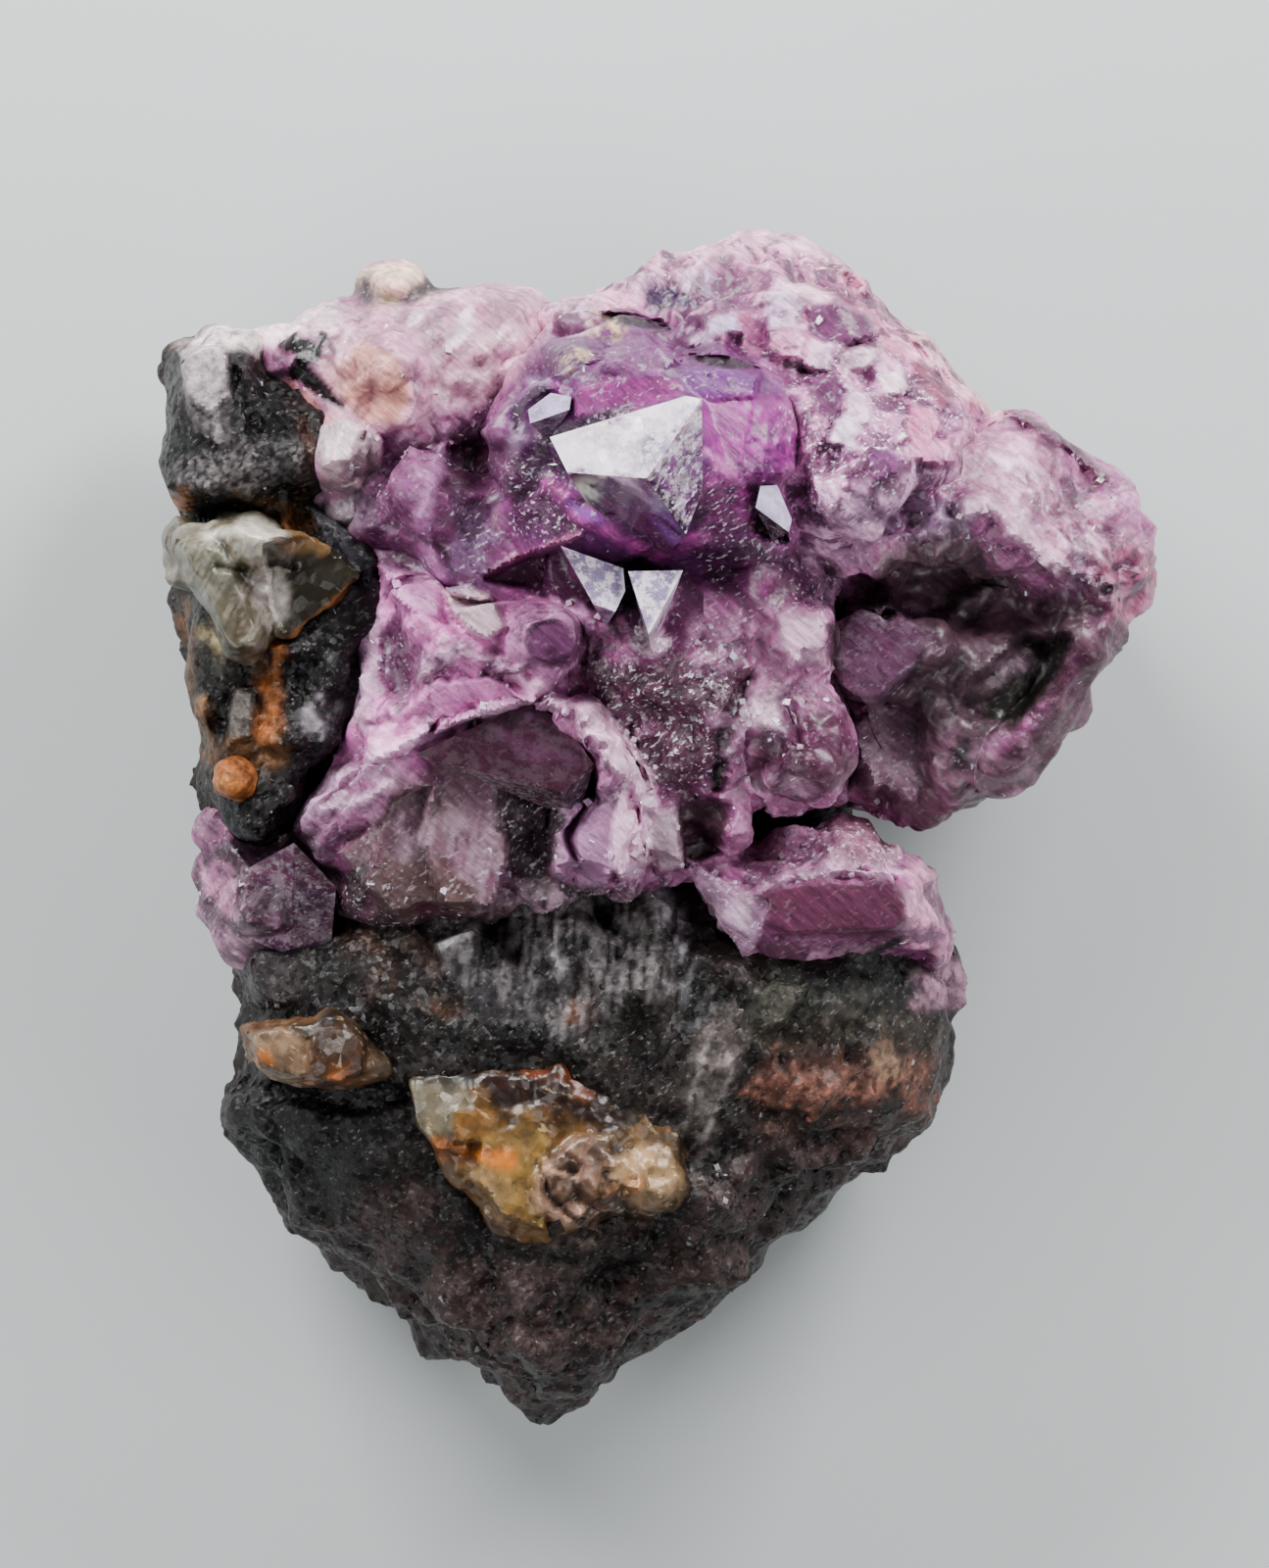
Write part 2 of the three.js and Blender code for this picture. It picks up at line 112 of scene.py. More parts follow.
# Vectors turned about x, y and z: first z, then y, then x, each by its own array of angles
def turned(vector, aboutX, aboutY, aboutZ):
    x, y, z = vector
    x, y = x * np.cos(aboutZ) - y * np.sin(aboutZ), x * np.sin(aboutZ) + y * np.cos(aboutZ)
    x, z = x * np.cos(aboutY) + z * np.sin(aboutY), z * np.cos(aboutY) - x * np.sin(aboutY)
    y, z = y * np.cos(aboutX) - z * np.sin(aboutX), y * np.sin(aboutX) + z * np.cos(aboutX)
    return np.stack([x, y, z], axis=1)


# Three directions at one lean from +z, a third of a turn apart
def trigonal(lean):
    turns = [k * 2 * math.pi / 3 for k in range(3)]
    out, along = math.sin(lean), math.cos(lean)
    return [(out * math.cos(turn), out * math.sin(turn), along) for turn in turns]


# Seeds round each point, one in each of the 27 nearest lattice cells: the way from the seed to the
# point in cells, and seven numbers of the seed's own
def seedsRound(points, cell):
    points = points / cell
    base = np.floor(points)
    for step in itertools.product((-1, 0, 1), repeat=3):
        i, j, k = (base + step).T
        pick = [cellNumber(i, j, k, salt) for salt in range(1, 8)]
        yield points - np.stack([i + pick[0], j + pick[1], k + pick[2]], axis=1), pick


# Height of a druse at each point, in cells: the nearest of the rhombs seeded round it. A rhomb's
# nearness falls by the furthest of the distances along its three face directions. Each of its six
# faces also has a number from 0 to 1: what follows the point in 17 * its own number + 0.381 * face.
def rhombRelief(points, cell):
    nearest, shade = np.full(len(points), np.inf), np.zeros(len(points))
    for away, pick in seedsRound(points, cell):
        reach, face = np.zeros(len(points)), np.zeros(len(points))
        for side, direction in enumerate(trigonal(faceLean)):
            tilts = [(number - 0.5) * rhombTilt for number in pick[3:5]] + [pick[5] * 2 * math.pi]
            along = np.sum(turned(direction, *tilts) * away, axis=1)
            further = np.abs(along) > reach
            reach = np.where(further, np.abs(along), reach)
            face = np.where(further, side + 3 * (along > 0), face)
        reach -= rhombSpread * pick[6]
        closer = reach < nearest
        nearest = np.where(closer, reach, nearest)
        shade = np.where(closer, (17 * pick[6] + 0.381 * face) % 1, shade)
    return -nearest, shade


# Height of folded hollows, in cells: the distance to the nearest seed, so that sharp crests part
# round bowls
def scoopRelief(points, cell):
    nearest = np.full(len(points), np.inf)
    for away, _ in seedsRound(points, cell):
        nearest = np.minimum(nearest, np.linalg.norm(away, axis=1))
    return nearest


# Directions all round a ball: on each side of a cube, side + tan(u) * across + tan(v) * up, made
# one long
def ballGrid(steps):
    u = np.tan(np.linspace(-1, 1, steps + 1) * math.pi / 4)
    across, up = (grid.ravel() for grid in np.meshgrid(u, u, indexing="ij"))
    rows = np.arange(steps)[:, None] * (steps + 1) + np.arange(steps)
    corner = rows.ravel()
    quad = np.stack([corner, corner + steps + 1, corner + steps + 2, corner + 1], axis=1)
    ways, quads = [], []
    for axis, sign in itertools.product(range(3), (1, -1)):
        side = np.zeros((len(across), 3))
        side[:, axis] = sign
        side[:, (axis + 1) % 3] = across * sign
        side[:, (axis + 2) % 3] = up
        quads.append(quad + len(ways) * len(across))
        ways.append(side / np.linalg.norm(side, axis=1)[:, None])
    ways, quads = np.concatenate(ways), np.concatenate(quads)
    keys, first, same = np.unique(np.round(ways, 6), axis=0, return_index=True, return_inverse=True)
    return ways[first], same.ravel()[quads]


# A lump's outline: for each turn, where a line from its middle leaves the polygon or the ellipse
def rimAt(lump, turn):
    ray = np.stack([np.cos(turn), np.sin(turn)], axis=1)
    if "radii" in lump:
        return np.asarray(lump["centre"]) + ray * lump["radii"]
    corners = np.asarray(lump["outline"], float)
    side = np.roll(corners, -1, axis=0) - corners
    away = corners - lumpMiddle(lump)
    across = ray[:, :1] * side[:, 1] - ray[:, 1:] * side[:, 0]
    across = np.where(np.abs(across) < 1e-12, 1e-12, across)
    along = (away[:, 0] * side[:, 1] - away[:, 1] * side[:, 0]) / across
    share = (away[:, 0] * ray[:, 1:] - away[:, 1] * ray[:, :1]) / across
    reach = np.where((share >= 0) & (share <= 1), along, 0).max(axis=1)
    return lumpMiddle(lump) + ray * reach[:, None]


# A lump's middle: its centre, or the mean of its outline's corners
def lumpMiddle(lump):
    return np.asarray(lump["centre"] if "centre" in lump else np.mean(lump["outline"], axis=0))


# A lump's points in directions all round it. Across, a point goes from the middle to the rim; up or
# down it goes from the rim's height to the face or the back, by |z| to a power.
def lumpShape(lump, steps=34):
    ways, quads = ballGrid(steps)
    middle = lumpMiddle(lump)
    spread = np.hypot(ways[:, 0], ways[:, 1])[:, None]
    rim = rimAt(lump, np.arctan2(ways[:, 1], ways[:, 0]))
    flat = middle + (rim - middle) * spread
    face = lump["front"] + (flat - middle) @ np.asarray(lump.get("lean", (0, 0)), float)
    height = np.where(ways[:, 2] > 0, face, lump["back"])
    z = lump["rim"] + (height - lump["rim"]) * np.abs(ways[:, 2]) ** lump.get("power", 0.8)
    return np.column_stack([flat, z]), quads


# Several shapes as one list of points and one of faces
def joinedShapes(shapes):
    starts = np.cumsum([0] + [len(points) for points, _ in shapes[:-1]])
    faces = [quads + start for (_, quads), start in zip(shapes, starts)]
    return np.concatenate([points for points, _ in shapes]), np.concatenate(faces)


# A mesh of points and faces, without layers or materials
def bareMesh(name, points, faces):
    mesh = bpy.data.meshes.new(name)
    mesh.from_pydata(points, [], faces)
    mesh.update()
    return mesh


# Overlapping closed shapes made one skin of small squares, with the way out at each of its points:
# a coarse skin is smoothed, each point moving halfway to its neighbours' mean, then skinned again
def fused(shapes, voxel, rounds, coarse=0.25):
    points, faces = joinedShapes(shapes)
    mesh = bareMesh("rough", points.tolist(), faces.tolist())
    rough = bpy.data.objects.new("rough", mesh)
    bpy.context.collection.objects.link(rough)
    for size in (coarse, voxel):
        remesh = rough.modifiers.new("skin", "REMESH")
        remesh.mode = "VOXEL"
        remesh.voxel_size = size
        if size == coarse:
            smooth = rough.modifiers.new("soften", "SMOOTH")
            smooth.factor = 0.5
            smooth.iterations = rounds
    skin = rough.evaluated_get(bpy.context.evaluated_depsgraph_get()).data
    count = len(skin.vertices)
    skinPoints = np.empty(count * 3)
    skin.vertices.foreach_get("co", skinPoints)
    normals = np.empty(count * 3)
    skin.vertex_normals.foreach_get("vector", normals)
    corners = np.empty(len(skin.polygons) * 4, int)
    skin.loops.foreach_get("vertex_index", corners)
    quads = corners.reshape(-1, 4)
    bpy.data.objects.remove(rough)
    bpy.data.meshes.remove(mesh)
    return skinPoints.reshape(-1, 3), normals.reshape(-1, 3), quads


# Wall rock: the pointed lower body, the slab behind the crust and the black wall at the left
lowerBody = {
    "centre": (-2.2, -6.2),
    "outline": [(-11, -3), (-10.75, -5), (-10.9, -6.5), (-11.45, -7.25), (-10.9, -8.4),
        (-9.75, -9.4), (-9.5, -10.25), (-7.75, -11.25), (-6.5, -12.5), (-4.75, -13.6), (-3.4, -15),
        (-2.1, -14.9), (-1.25, -13.9), (0.5, -12.9), (2.25, -11.5), (2.5, -10.6), (4.25, -9.5),
        (5.5, -8.5), (6.9, -7.5), (7.2, -5.5), (7.4, -4), (6.5, -3.1), (4.2, -2.2), (0.5, -1.2),
        (-4.5, -0.8), (-8.2, -1.6)],
    "rim": 5.5, "front": 11.6, "back": 0.6, "lean": (0.02, 0.16), "power": 0.55,
}
backSlab = {
    "outline": [(-11.3, 11.3), (-7, 12.6), (-3, 12.6), (1.75, 13.8), (5.5, 12.4), (8, 10),
        (10.3, 7.6), (10, 4.5), (7, 1.4), (4.6, 1), (4.4, -3), (-3, -6), (-10, -4), (-11.2, 3)],
    "rim": 4, "front": 8, "back": 0, "power": 0.5,
}
wallTop = {
    "outline": [(-12.6, 12), (-11.75, 12.25), (-10.75, 12.1), (-10.2, 11.4), (-9.2, 10.9),
        (-8.6, 10.25), (-8.6, 8.75), (-9, 8.1), (-11, 7.9), (-12.4, 7.9), (-12.8, 9.25),
        (-12.55, 10.75)],
    "rim": 6, "front": 12.1, "back": 2, "lean": (0.12, 0), "power": 0.16,
}
wallMiddle = {
    "outline": [(-12.25, 7.9), (-9.5, 8.2), (-8.2, 7.8), (-7.2, 6.6), (-7.3, 4.75), (-7.9, 3),
        (-8.4, 1.5), (-9.75, 1), (-11.6, 1), (-12.05, 3.5), (-12.3, 5.5)],
    "rim": 6, "front": 11.7, "back": 2, "lean": (0.12, 0), "power": 0.16,
}
wallFoot = {
    "outline": [(-11.65, 1.5), (-9.5, 1.75), (-9, 1), (-9.7, -0.25), (-10.45, -0.8), (-11.1, -0.45),
        (-11.45, 0.4)],
    "rim": 7, "front": 12.1, "back": 4, "power": 0.5,
}
limoniteKnob = {
    "centre": (-10.95, 1.12), "radii": (0.55, 0.68), "rim": 11, "front": 12.15, "back": 9,
    "power": 0.6,
}
goldenLump = {
    "outline": [(-6.6, -6.3), (-5, -6.1), (-4, -5.9), (-2, -5.7), (0.2, -6), (0.45, -7.75),
        (0.25, -9.5), (-0.75, -10.4), (-3, -10.6), (-4.5, -10.25), (-5, -9.25), (-5.6, -8.9),
        (-6.5, -7.75)],
    "rim": 9, "front": 11.5, "back": 7, "power": 0.3,
}
goldenLedge = {
    "outline": [(-10.9, -5.2), (-10.6, -6.4), (-9.4, -6.7), (-7.9, -6.8), (-6.9, -6.6),
        (-6.7, -6.1), (-7.6, -5.6), (-8.3, -5), (-9.8, -5)],
    "rim": 8, "front": 11.8, "back": 6, "power": 0.3,
}
quartzColumn = {
    "outline": [(-12.55, 7.3), (-12, 7.5), (-11.4, 7.3), (-11, 6.6), (-10.6, 5.75), (-10.3, 5),
        (-10.4, 4.5), (-10.9, 4.3), (-11.4, 4.9), (-11.9, 5.75), (-12.25, 6.6)],
    "rim": 8.5, "front": 12.6, "back": 6.5, "lean": (0.3, 0), "power": 0.25,
}
quartzCrest = {
    "outline": [(-11.6, 7.6), (-10.9, 7.75), (-9.9, 7.4), (-9, 7.4), (-8.25, 7), (-8.75, 6.5),
        (-9.75, 6.25), (-10.75, 6.4), (-11.4, 6.75)],
    "rim": 9, "front": 12.9, "back": 6.5, "lean": (0, -0.3), "power": 0.3,
}
quartzWedge = {
    "outline": [(-10.6, 6.4), (-9.5, 6.5), (-8.25, 6.9), (-7.4, 6.5), (-7.95, 5.6), (-9, 4.75),
        (-9.6, 4.45), (-10.25, 5), (-10.75, 5.9)],
    "rim": 8.5, "front": 12.2, "back": 6.5, "lean": (-0.1, 0.25), "power": 0.25,
}

# The calcite crust. Each lump is an outline or an ellipse with the heights of its rim, its face and
# its back; lean is the face's slope along x and y.
crown = {
    "centre": (2.6, 11.9),
    "outline": [(-3.5, 13.1), (-2, 13.4), (-0.75, 14), (0.5, 14.5), (1.75, 14.8), (3.5, 14.7),
        (4.9, 13.8), (6.7, 12.3), (8.2, 10.6), (8, 9.6), (5.5, 8), (2, 8.6), (-1.5, 10),
        (-3.6, 11.4)],
    "rim": 6.8, "front": 13.6, "back": 4, "lean": (-0.05, -0.5), "power": 0.7,
}
dome = {
    "outline": [(-4.4, 11), (-3, 12.25), (-1, 12.8), (1.5, 12.5), (3, 11.4), (3.7, 10), (3.8, 8.5),
        (3.4, 7.1), (2.5, 6.3), (0.5, 5.9), (-2, 6.1), (-3.75, 7), (-4.6, 8.6)],
    "rim": 12, "front": 16.5, "back": 6, "power": 1.3,
}
shoulder = {
    "centre": (4.7, 9.1), "radii": (3.9, 3.1), "rim": 9, "front": 15.2, "back": 5, "power": 1.3,
}
lobeTop = {
    "outline": [(4.4, 9.3), (6.75, 10), (8.9, 10.5), (10.4, 9.4), (11.2, 8.7), (12, 7.7),
        (12.5, 6.4), (12.1, 5.7), (10.4, 5.5), (9.2, 6.1), (7.8, 6.8), (6.4, 6.6), (5, 6.4),
        (4, 6.8)],
    "rim": 10, "front": 13, "back": 5.5, "lean": (-0.3, -0.3), "power": 0.6,
}
lobeUnderside = {
    "outline": [(4, 7), (8, 7.4), (11, 6.8), (12, 6), (11.5, 5), (11.1, 4), (10.5, 3.2), (9.8, 1.9),
        (8, 0.6), (6.6, -0.3), (5.2, 0.3), (4, 0.9), (3.8, 3.5)],
    "rim": 7, "front": 11.2, "back": 4, "power": 0.7,
}
lobeRim = {
    "outline": [(12.5, 6.8), (12.4, 6.2), (11.6, 4.9), (11.1, 3.9), (10.4, 2.7), (9.8, 1.8),
        (8.4, 0.9), (7.6, 1.1), (9, 2.4), (9.8, 4), (10, 5.4), (10.6, 6.9)],
    "rim": 8, "front": 11.9, "back": 4.5, "power": 0.6,
}
lobeBud = {
    "outline": [(4.6, 5.3), (5.6, 5.6), (6.6, 5), (7, 4.6), (6.5, 4.2), (6.1, 3.6), (5.6, 3.1),
        (5, 2.9), (4.3, 3.5)],
    "rim": 10.6, "front": 12.4, "back": 6, "power": 0.35,
}
lobeFoot = {"centre": (6.3, 1.2), "radii": (1.7, 1.3), "rim": 6.5, "front": 10, "back": 5}
column = {
    "outline": [(0.9, 4.75), (2, 5.4), (3, 5.65), (4.05, 5.4), (4.25, 4), (4.8, 2.75), (4.95, 1.5),
        (4.5, 0.6), (3.4, 0.4), (2, 0.6), (1.4, 1.75), (1, 3.5)],
    "rim": 9.5, "front": 13.8, "back": 5, "power": 1.0,
}
columnHead = {
    "centre": (3.35, 4.75), "radii": (0.95, 0.8), "rim": 11, "front": 14.3, "back": 8, "power": 0.5,
}
columnBelly = {
    "centre": (3.5, 1.9), "radii": (1.45, 1.35), "rim": 11, "front": 14.7, "back": 8, "power": 1.2,
}
darkSlope = {
    "outline": [(-3.2, 7), (0, 7.4), (3.2, 7.5), (3.9, 6.3), (3, 4.8), (2.4, 1.5), (1.9, -0.9),
        (-0.5, -1), (-1, 1.2), (-2.4, 3)],
    "rim": 11, "front": 13.9, "back": 5, "lean": (0, 0.3),
}
leftFold = {
    "outline": [(-7.4, 6.6), (-6.4, 6.4), (-4.2, 6), (-2, 5.5), (-1, 4.6), (-1.6, 3.2), (-3.4, 2.8),
        (-5.8, 1.9), (-8, 1.2), (-8.2, 2.6), (-7.7, 4.6)],
    "rim": 10, "front": 13.9, "back": 5, "power": 1.0,
}
lowerFold = {
    "outline": [(-9.6, -0.2), (-8.5, 1.4), (-6.2, 2.6), (-4.8, 2.2), (-5.6, 0.9), (-7.4, -0.4),
        (-8.8, -1.1)],
    "rim": 9.5, "front": 12.4, "back": 6, "power": 1.0,
}
pittedBud = {
    "centre": (-3, 4.7), "radii": (1.3, 1.15), "rim": 11, "front": 14.9, "back": 8, "power": 1.1,
}
rimPlate = {
    "outline": [(-3.6, 3.3), (-2, 3.2), (-0.8, 1.5), (-0.5, -0.4), (-1.3, -0.3), (-1.5, 1.2),
        (-2.3, 2.3)],
    "rim": 11, "front": 14.4, "back": 7, "power": 0.9,
}
hangingPlates = {
    "outline": [(-2, 1.2), (-1, 1), (-0.4, -0.6), (-0.6, -1.9), (-1.5, -2.1), (-2.8, -1.4),
        (-2.9, -0.3)],
    "rim": 9, "front": 13.6, "back": 6, "power": 0.7,
}
smokySlope = {
    "outline": [(-8.6, 0.8), (-7, 2.6), (-5.6, 3.4), (-3, 3.2), (-2, 0.2), (-2.2, -2.5),
        (-6.2, -2.9), (-8.5, -2.3)],
    "rim": 9.5, "front": 12.9, "back": 5, "lean": (0, 0.15), "power": 0.9,
}
footCluster = {
    "outline": [(-11.9, -1.25), (-11.7, 0.3), (-10.75, -0.2), (-9.5, 0), (-8.4, -0.9), (-8, -2.4),
        (-9.2, -3.4), (-10.9, -3.3), (-11.3, -2.4)],
    "rim": 6, "front": 10.9, "back": 4,
}
shelf = {
    "outline": [(0.2, -1), (1.75, -0.6), (4.3, 0.1), (5, 0), (6, -0.75), (6.75, -1), (6.9, -1.6),
        (7.6, -2.9), (7.2, -3.8), (6.2, -3.7), (4.25, -3.3), (2.2, -3.7), (0.9, -2.8)],
    "rim": 6.5, "front": 12.6, "back": 5, "lean": (-0.1, 0), "power": 0.7,
}
upperLeft = {
    "outline": [(-10.8, 12.2), (-8.75, 13.1), (-7, 13.3), (-4.5, 13.8), (-3.3, 13.5), (-2.6, 12.3),
        (-4.3, 10), (-5.75, 9), (-7.5, 8.3), (-9.3, 9.6), (-10, 11.2)],
    "rim": 7.5, "front": 11.9, "back": 4, "lean": (0, -0.2), "power": 0.6,
}
salmonDome = {"centre": (-7.3, 11.3), "radii": (1.8, 1.5), "rim": 8, "front": 13.2, "back": 6}
creamCap = {"centre": (-7, 13.8), "radii": (0.95, 0.5), "rim": 7, "front": 10.5, "back": 6}
milkyBud = {
    "centre": (-8.1, 9.4), "radii": (1, 1.15), "rim": 8.5, "front": 12.8, "back": 7, "power": 0.6,
}
milkyFoot = {"centre": (-8, 7.9), "radii": (1, 0.7), "rim": 8, "front": 11.6, "back": 6}
purpleHollow = {
    "outline": [(-7.9, 9.4), (-4.5, 10.4), (-2.6, 8), (-3.4, 5.8), (-6.2, 6.2), (-8.2, 7.4)],
    "rim": 10, "front": 13, "back": 4,
}
crustBed = {
    "outline": [(-9.2, 8.6), (-7, 11.6), (-4.5, 12.4), (2, 12.4), (6, 10.4), (5.2, 7.4), (4.2, 4.5),
        (4, 1.2), (1.6, 0.4), (1, -1.4), (-3, -2.6), (-8.6, -1.8), (-8.2, 3)],
    "rim": 8, "front": 11.9, "back": 5, "power": 0.35,
}

# The drawn shapes are laid over the CAD model's box: (point - low) * scale, resting at z = 0. Then
# each point is drawn in towards the camera's axis by (eye height - z) / distance, so that it shows
# at its own pixel however high it stands.
rawLow, rawHigh = np.array([-12.8, -15, 0.55]), np.array([12.7, 15.1, 18.1])
cadLow, cadHigh = (np.asarray(corner) for corner in cadBox)
fitScale = (cadHigh - cadLow) / (rawHigh - rawLow)
cameraFacts = {"distance": 450, "facePlane": 9, "sensor": 36, "frameHeight": 40}
eyeHeight = (cameraFacts["distance"] + cameraFacts["facePlane"]) * mm
eyePlace = ((np.array([*spot(*pictureMiddle), 0]) - rawLow) * fitScale + cadLow)[:2]


def placed(points):
    fitted = (points - rawLow) * fitScale + cadLow
    fitted[:, 2] = np.maximum(fitted[:, 2], cadLow[2])
    nearer = (eyeHeight - fitted[:, 2:]) / (cameraFacts["distance"] * mm)
    fitted[:, :2] = eyePlace + (fitted[:, :2] - eyePlace) * nearer
    return fitted


print("lumps drawn, fitted to the frame by", np.round(fitScale / mm, 4))


# Marks: what is drawn on the face of a mineral

# Distance in mm from each place to a line through corners: to the nearest point of its nearest side
def lineDistance(x, y, corners, closed):
    ends = corners[1:] + corners[:1] if closed else corners[1:]
    nearest = np.full(len(x), np.inf)
    for (startX, startY), (endX, endY) in zip(corners, ends):
        dx, dy = endX - startX, endY - startY
        along = np.clip(((x - startX) * dx + (y - startY) * dy) / (dx * dx + dy * dy), 0, 1)
        nearest = np.minimum(nearest, np.hypot(x - startX - along * dx, y - startY - along * dy))
    return nearest


# True where a line to the right of the place crosses the outline's sides an odd number of times
def within(x, y, corners):
    inside = np.zeros(len(x), bool)
    for (startX, startY), (endX, endY) in zip(corners, corners[1:] + corners[:1]):
        if startY != endY:
            crossing = (startY > y) != (endY > y)
            inside ^= crossing & (x < startX + (y - startY) * (endX - startX) / (endY - startY))
    return inside


# Places along and across a direction, turned from the picture's row by degrees
def aligned(dx, dy, turn):
    turn = math.radians(turn)
    return dx * math.cos(turn) + dy * math.sin(turn), dy * math.cos(turn) - dx * math.sin(turn)


# How far inside a mark's rim each place is, in mm: an area by the distance to its outline, a line
# by its half width less the distance, an ellipse by (1 - |turned place / radii|) * lesser radius
def depthInside(mark, x, y):
    if "at" in mark:
        wide, high = (radius / pixelsPerMm for radius in mark["radii"])
        atX, atY = spot(*mark["at"])
        along, across = aligned(x - atX, y - atY, mark.get("turn", 0))
        return (1 - np.hypot(along / wide, across / high)) * min(wide, high)
    corners = [spot(*corner) for corner in mark.get("area", mark.get("path"))]
    if "path" in mark:
        return mark["width"] / 2 / pixelsPerMm - lineDistance(x, y, corners, False)
    distance = lineDistance(x, y, corners, True)
    return np.where(within(x, y, corners), distance, -distance)


# Streaks along a direction: noise stretched to a length and a width in mm, cut to light and dark
def streaks(x, y, turn, length, width):
    along, across = aligned(x, y, turn)
    place = np.column_stack([along / length, across / width, np.full(len(x), 0.5)])
    return ramp(0.6 * softNoise(place, 1, 5) + 0.4 * softNoise(place, 0.5, 6), 0.4, 0.6)


# How marks are laid. Widths of rims are in pixels where soft, and in mm where ragged.
markRules = {
    "frost": 1, "glitter": 1, "scratches": 0.2,  # where a mark doesn't say
    "soft": 8, "softFacet": 3, "ragged": 0.7, "raggedFacet": 0.15, "raggedCell": 0.7,
    "fade": (4, 7),  # mm of height over which marks come in, so the deep sides stay plain
    "pull": 0.92,  # how far a facet brings the face to its plane
}


# Marks laid one after another on the points that face the front, over one base colour or each
# point's own. A mark's share rises over its soft width inside a ragged rim. By that share it
# changes the colour and the finish, lifts the face by its rise, or, as a facet (lift, slope along
# x, slope along y), brings it to the plane through the face's middle. Calm says where facets lie.
def marked(points, normals, base, marks):
    colours = base.copy() if np.ndim(base) == 2 else np.tile(linear(base), (len(points), 1))
    finish = {key: np.full(len(points), float(markRules[key])) for key in finishKeys}
    calm = np.zeros(len(points))
    rag = roughNoise(points, markRules["raggedCell"], 11) - 0.5
    x, y, z = points.T
    for mark in marks.values():
        flat = "facet" in mark
        soft = markRules["softFacet"] if flat else markRules["soft"]
        if "width" in mark and not flat:
            soft = min(soft, 2 + 0.3 * mark["width"])
        soft = mark.get("soft", soft) / pixelsPerMm
        ragged = mark.get("ragged", markRules["raggedFacet" if flat else "ragged"])
        corners = mark.get("area", mark.get("path", [mark.get("at")]))
        if "path" in mark:
            ragged = min(ragged, 1.2 * mark["width"] / pixelsPerMm)
        reach = (max(mark.get("radii", (0,))) + mark.get("width", 0)) / pixelsPerMm + soft + ragged
        columns, rows = zip(*(spot(*corner) for corner in corners))
        near = (x > min(columns) - reach) & (x < max(columns) + reach)
        near &= (y > min(rows) - reach) & (y < max(rows) + reach) & (normals[:, 2] > -0.3)
        near = np.flatnonzero(near)
        if not len(near):
            continue
        depth = depthInside(mark, x[near], y[near]) + ragged * rag[near]
        share = ramp(depth, -soft, soft) * mark.get("share", 1) * ramp(z[near], *markRules["fade"])
        if "streak" in mark:
            share *= streaks(x[near], y[near], *mark["streak"])
        colours[near] += (linear(mark["colour"]) - colours[near]) * share[:, None]
        for key, values in finish.items():
            values[near] += (mark.get(key, markRules[key]) - values[near]) * share
        z[near] += mark.get("rise", 0) * share
        inner = near[(share > 0.5) & (normals[near, 2] > 0.6)]
        if flat and len(inner):
            calm[near] = np.maximum(calm[near], share)
            lift, slopeX, slopeY = mark["facet"]
            level = np.percentile(z[inner], 60) + lift
            level = level + (x[near] - x[inner].mean()) * slopeX
            level = level + (y[near] - y[inner].mean()) * slopeY
            pull = np.maximum(ramp(normals[near, 2], 0.2, 0.6), z[near] > level)
            z[near] += (level - z[near]) * share * pull * markRules["pull"]
    return np.column_stack([x, y, z]), colours, *finish.values(), calm


# Kinds of mark: an area, a flat facet (lift, slope along x, slope along y), a line and an ellipse
def patch(area, colour, **more):
    return {"area": area, "colour": colour, **more}


def facet(area, colour, plane, **more):
    return {"area": area, "colour": colour, "facet": plane, **more}


def line(path, width, colour, **more):
    return {"path": path, "width": width, "colour": colour, **more}


def dot(at, radii, colour, **more):
    return {"at": at, "radii": radii, "colour": colour, **more}


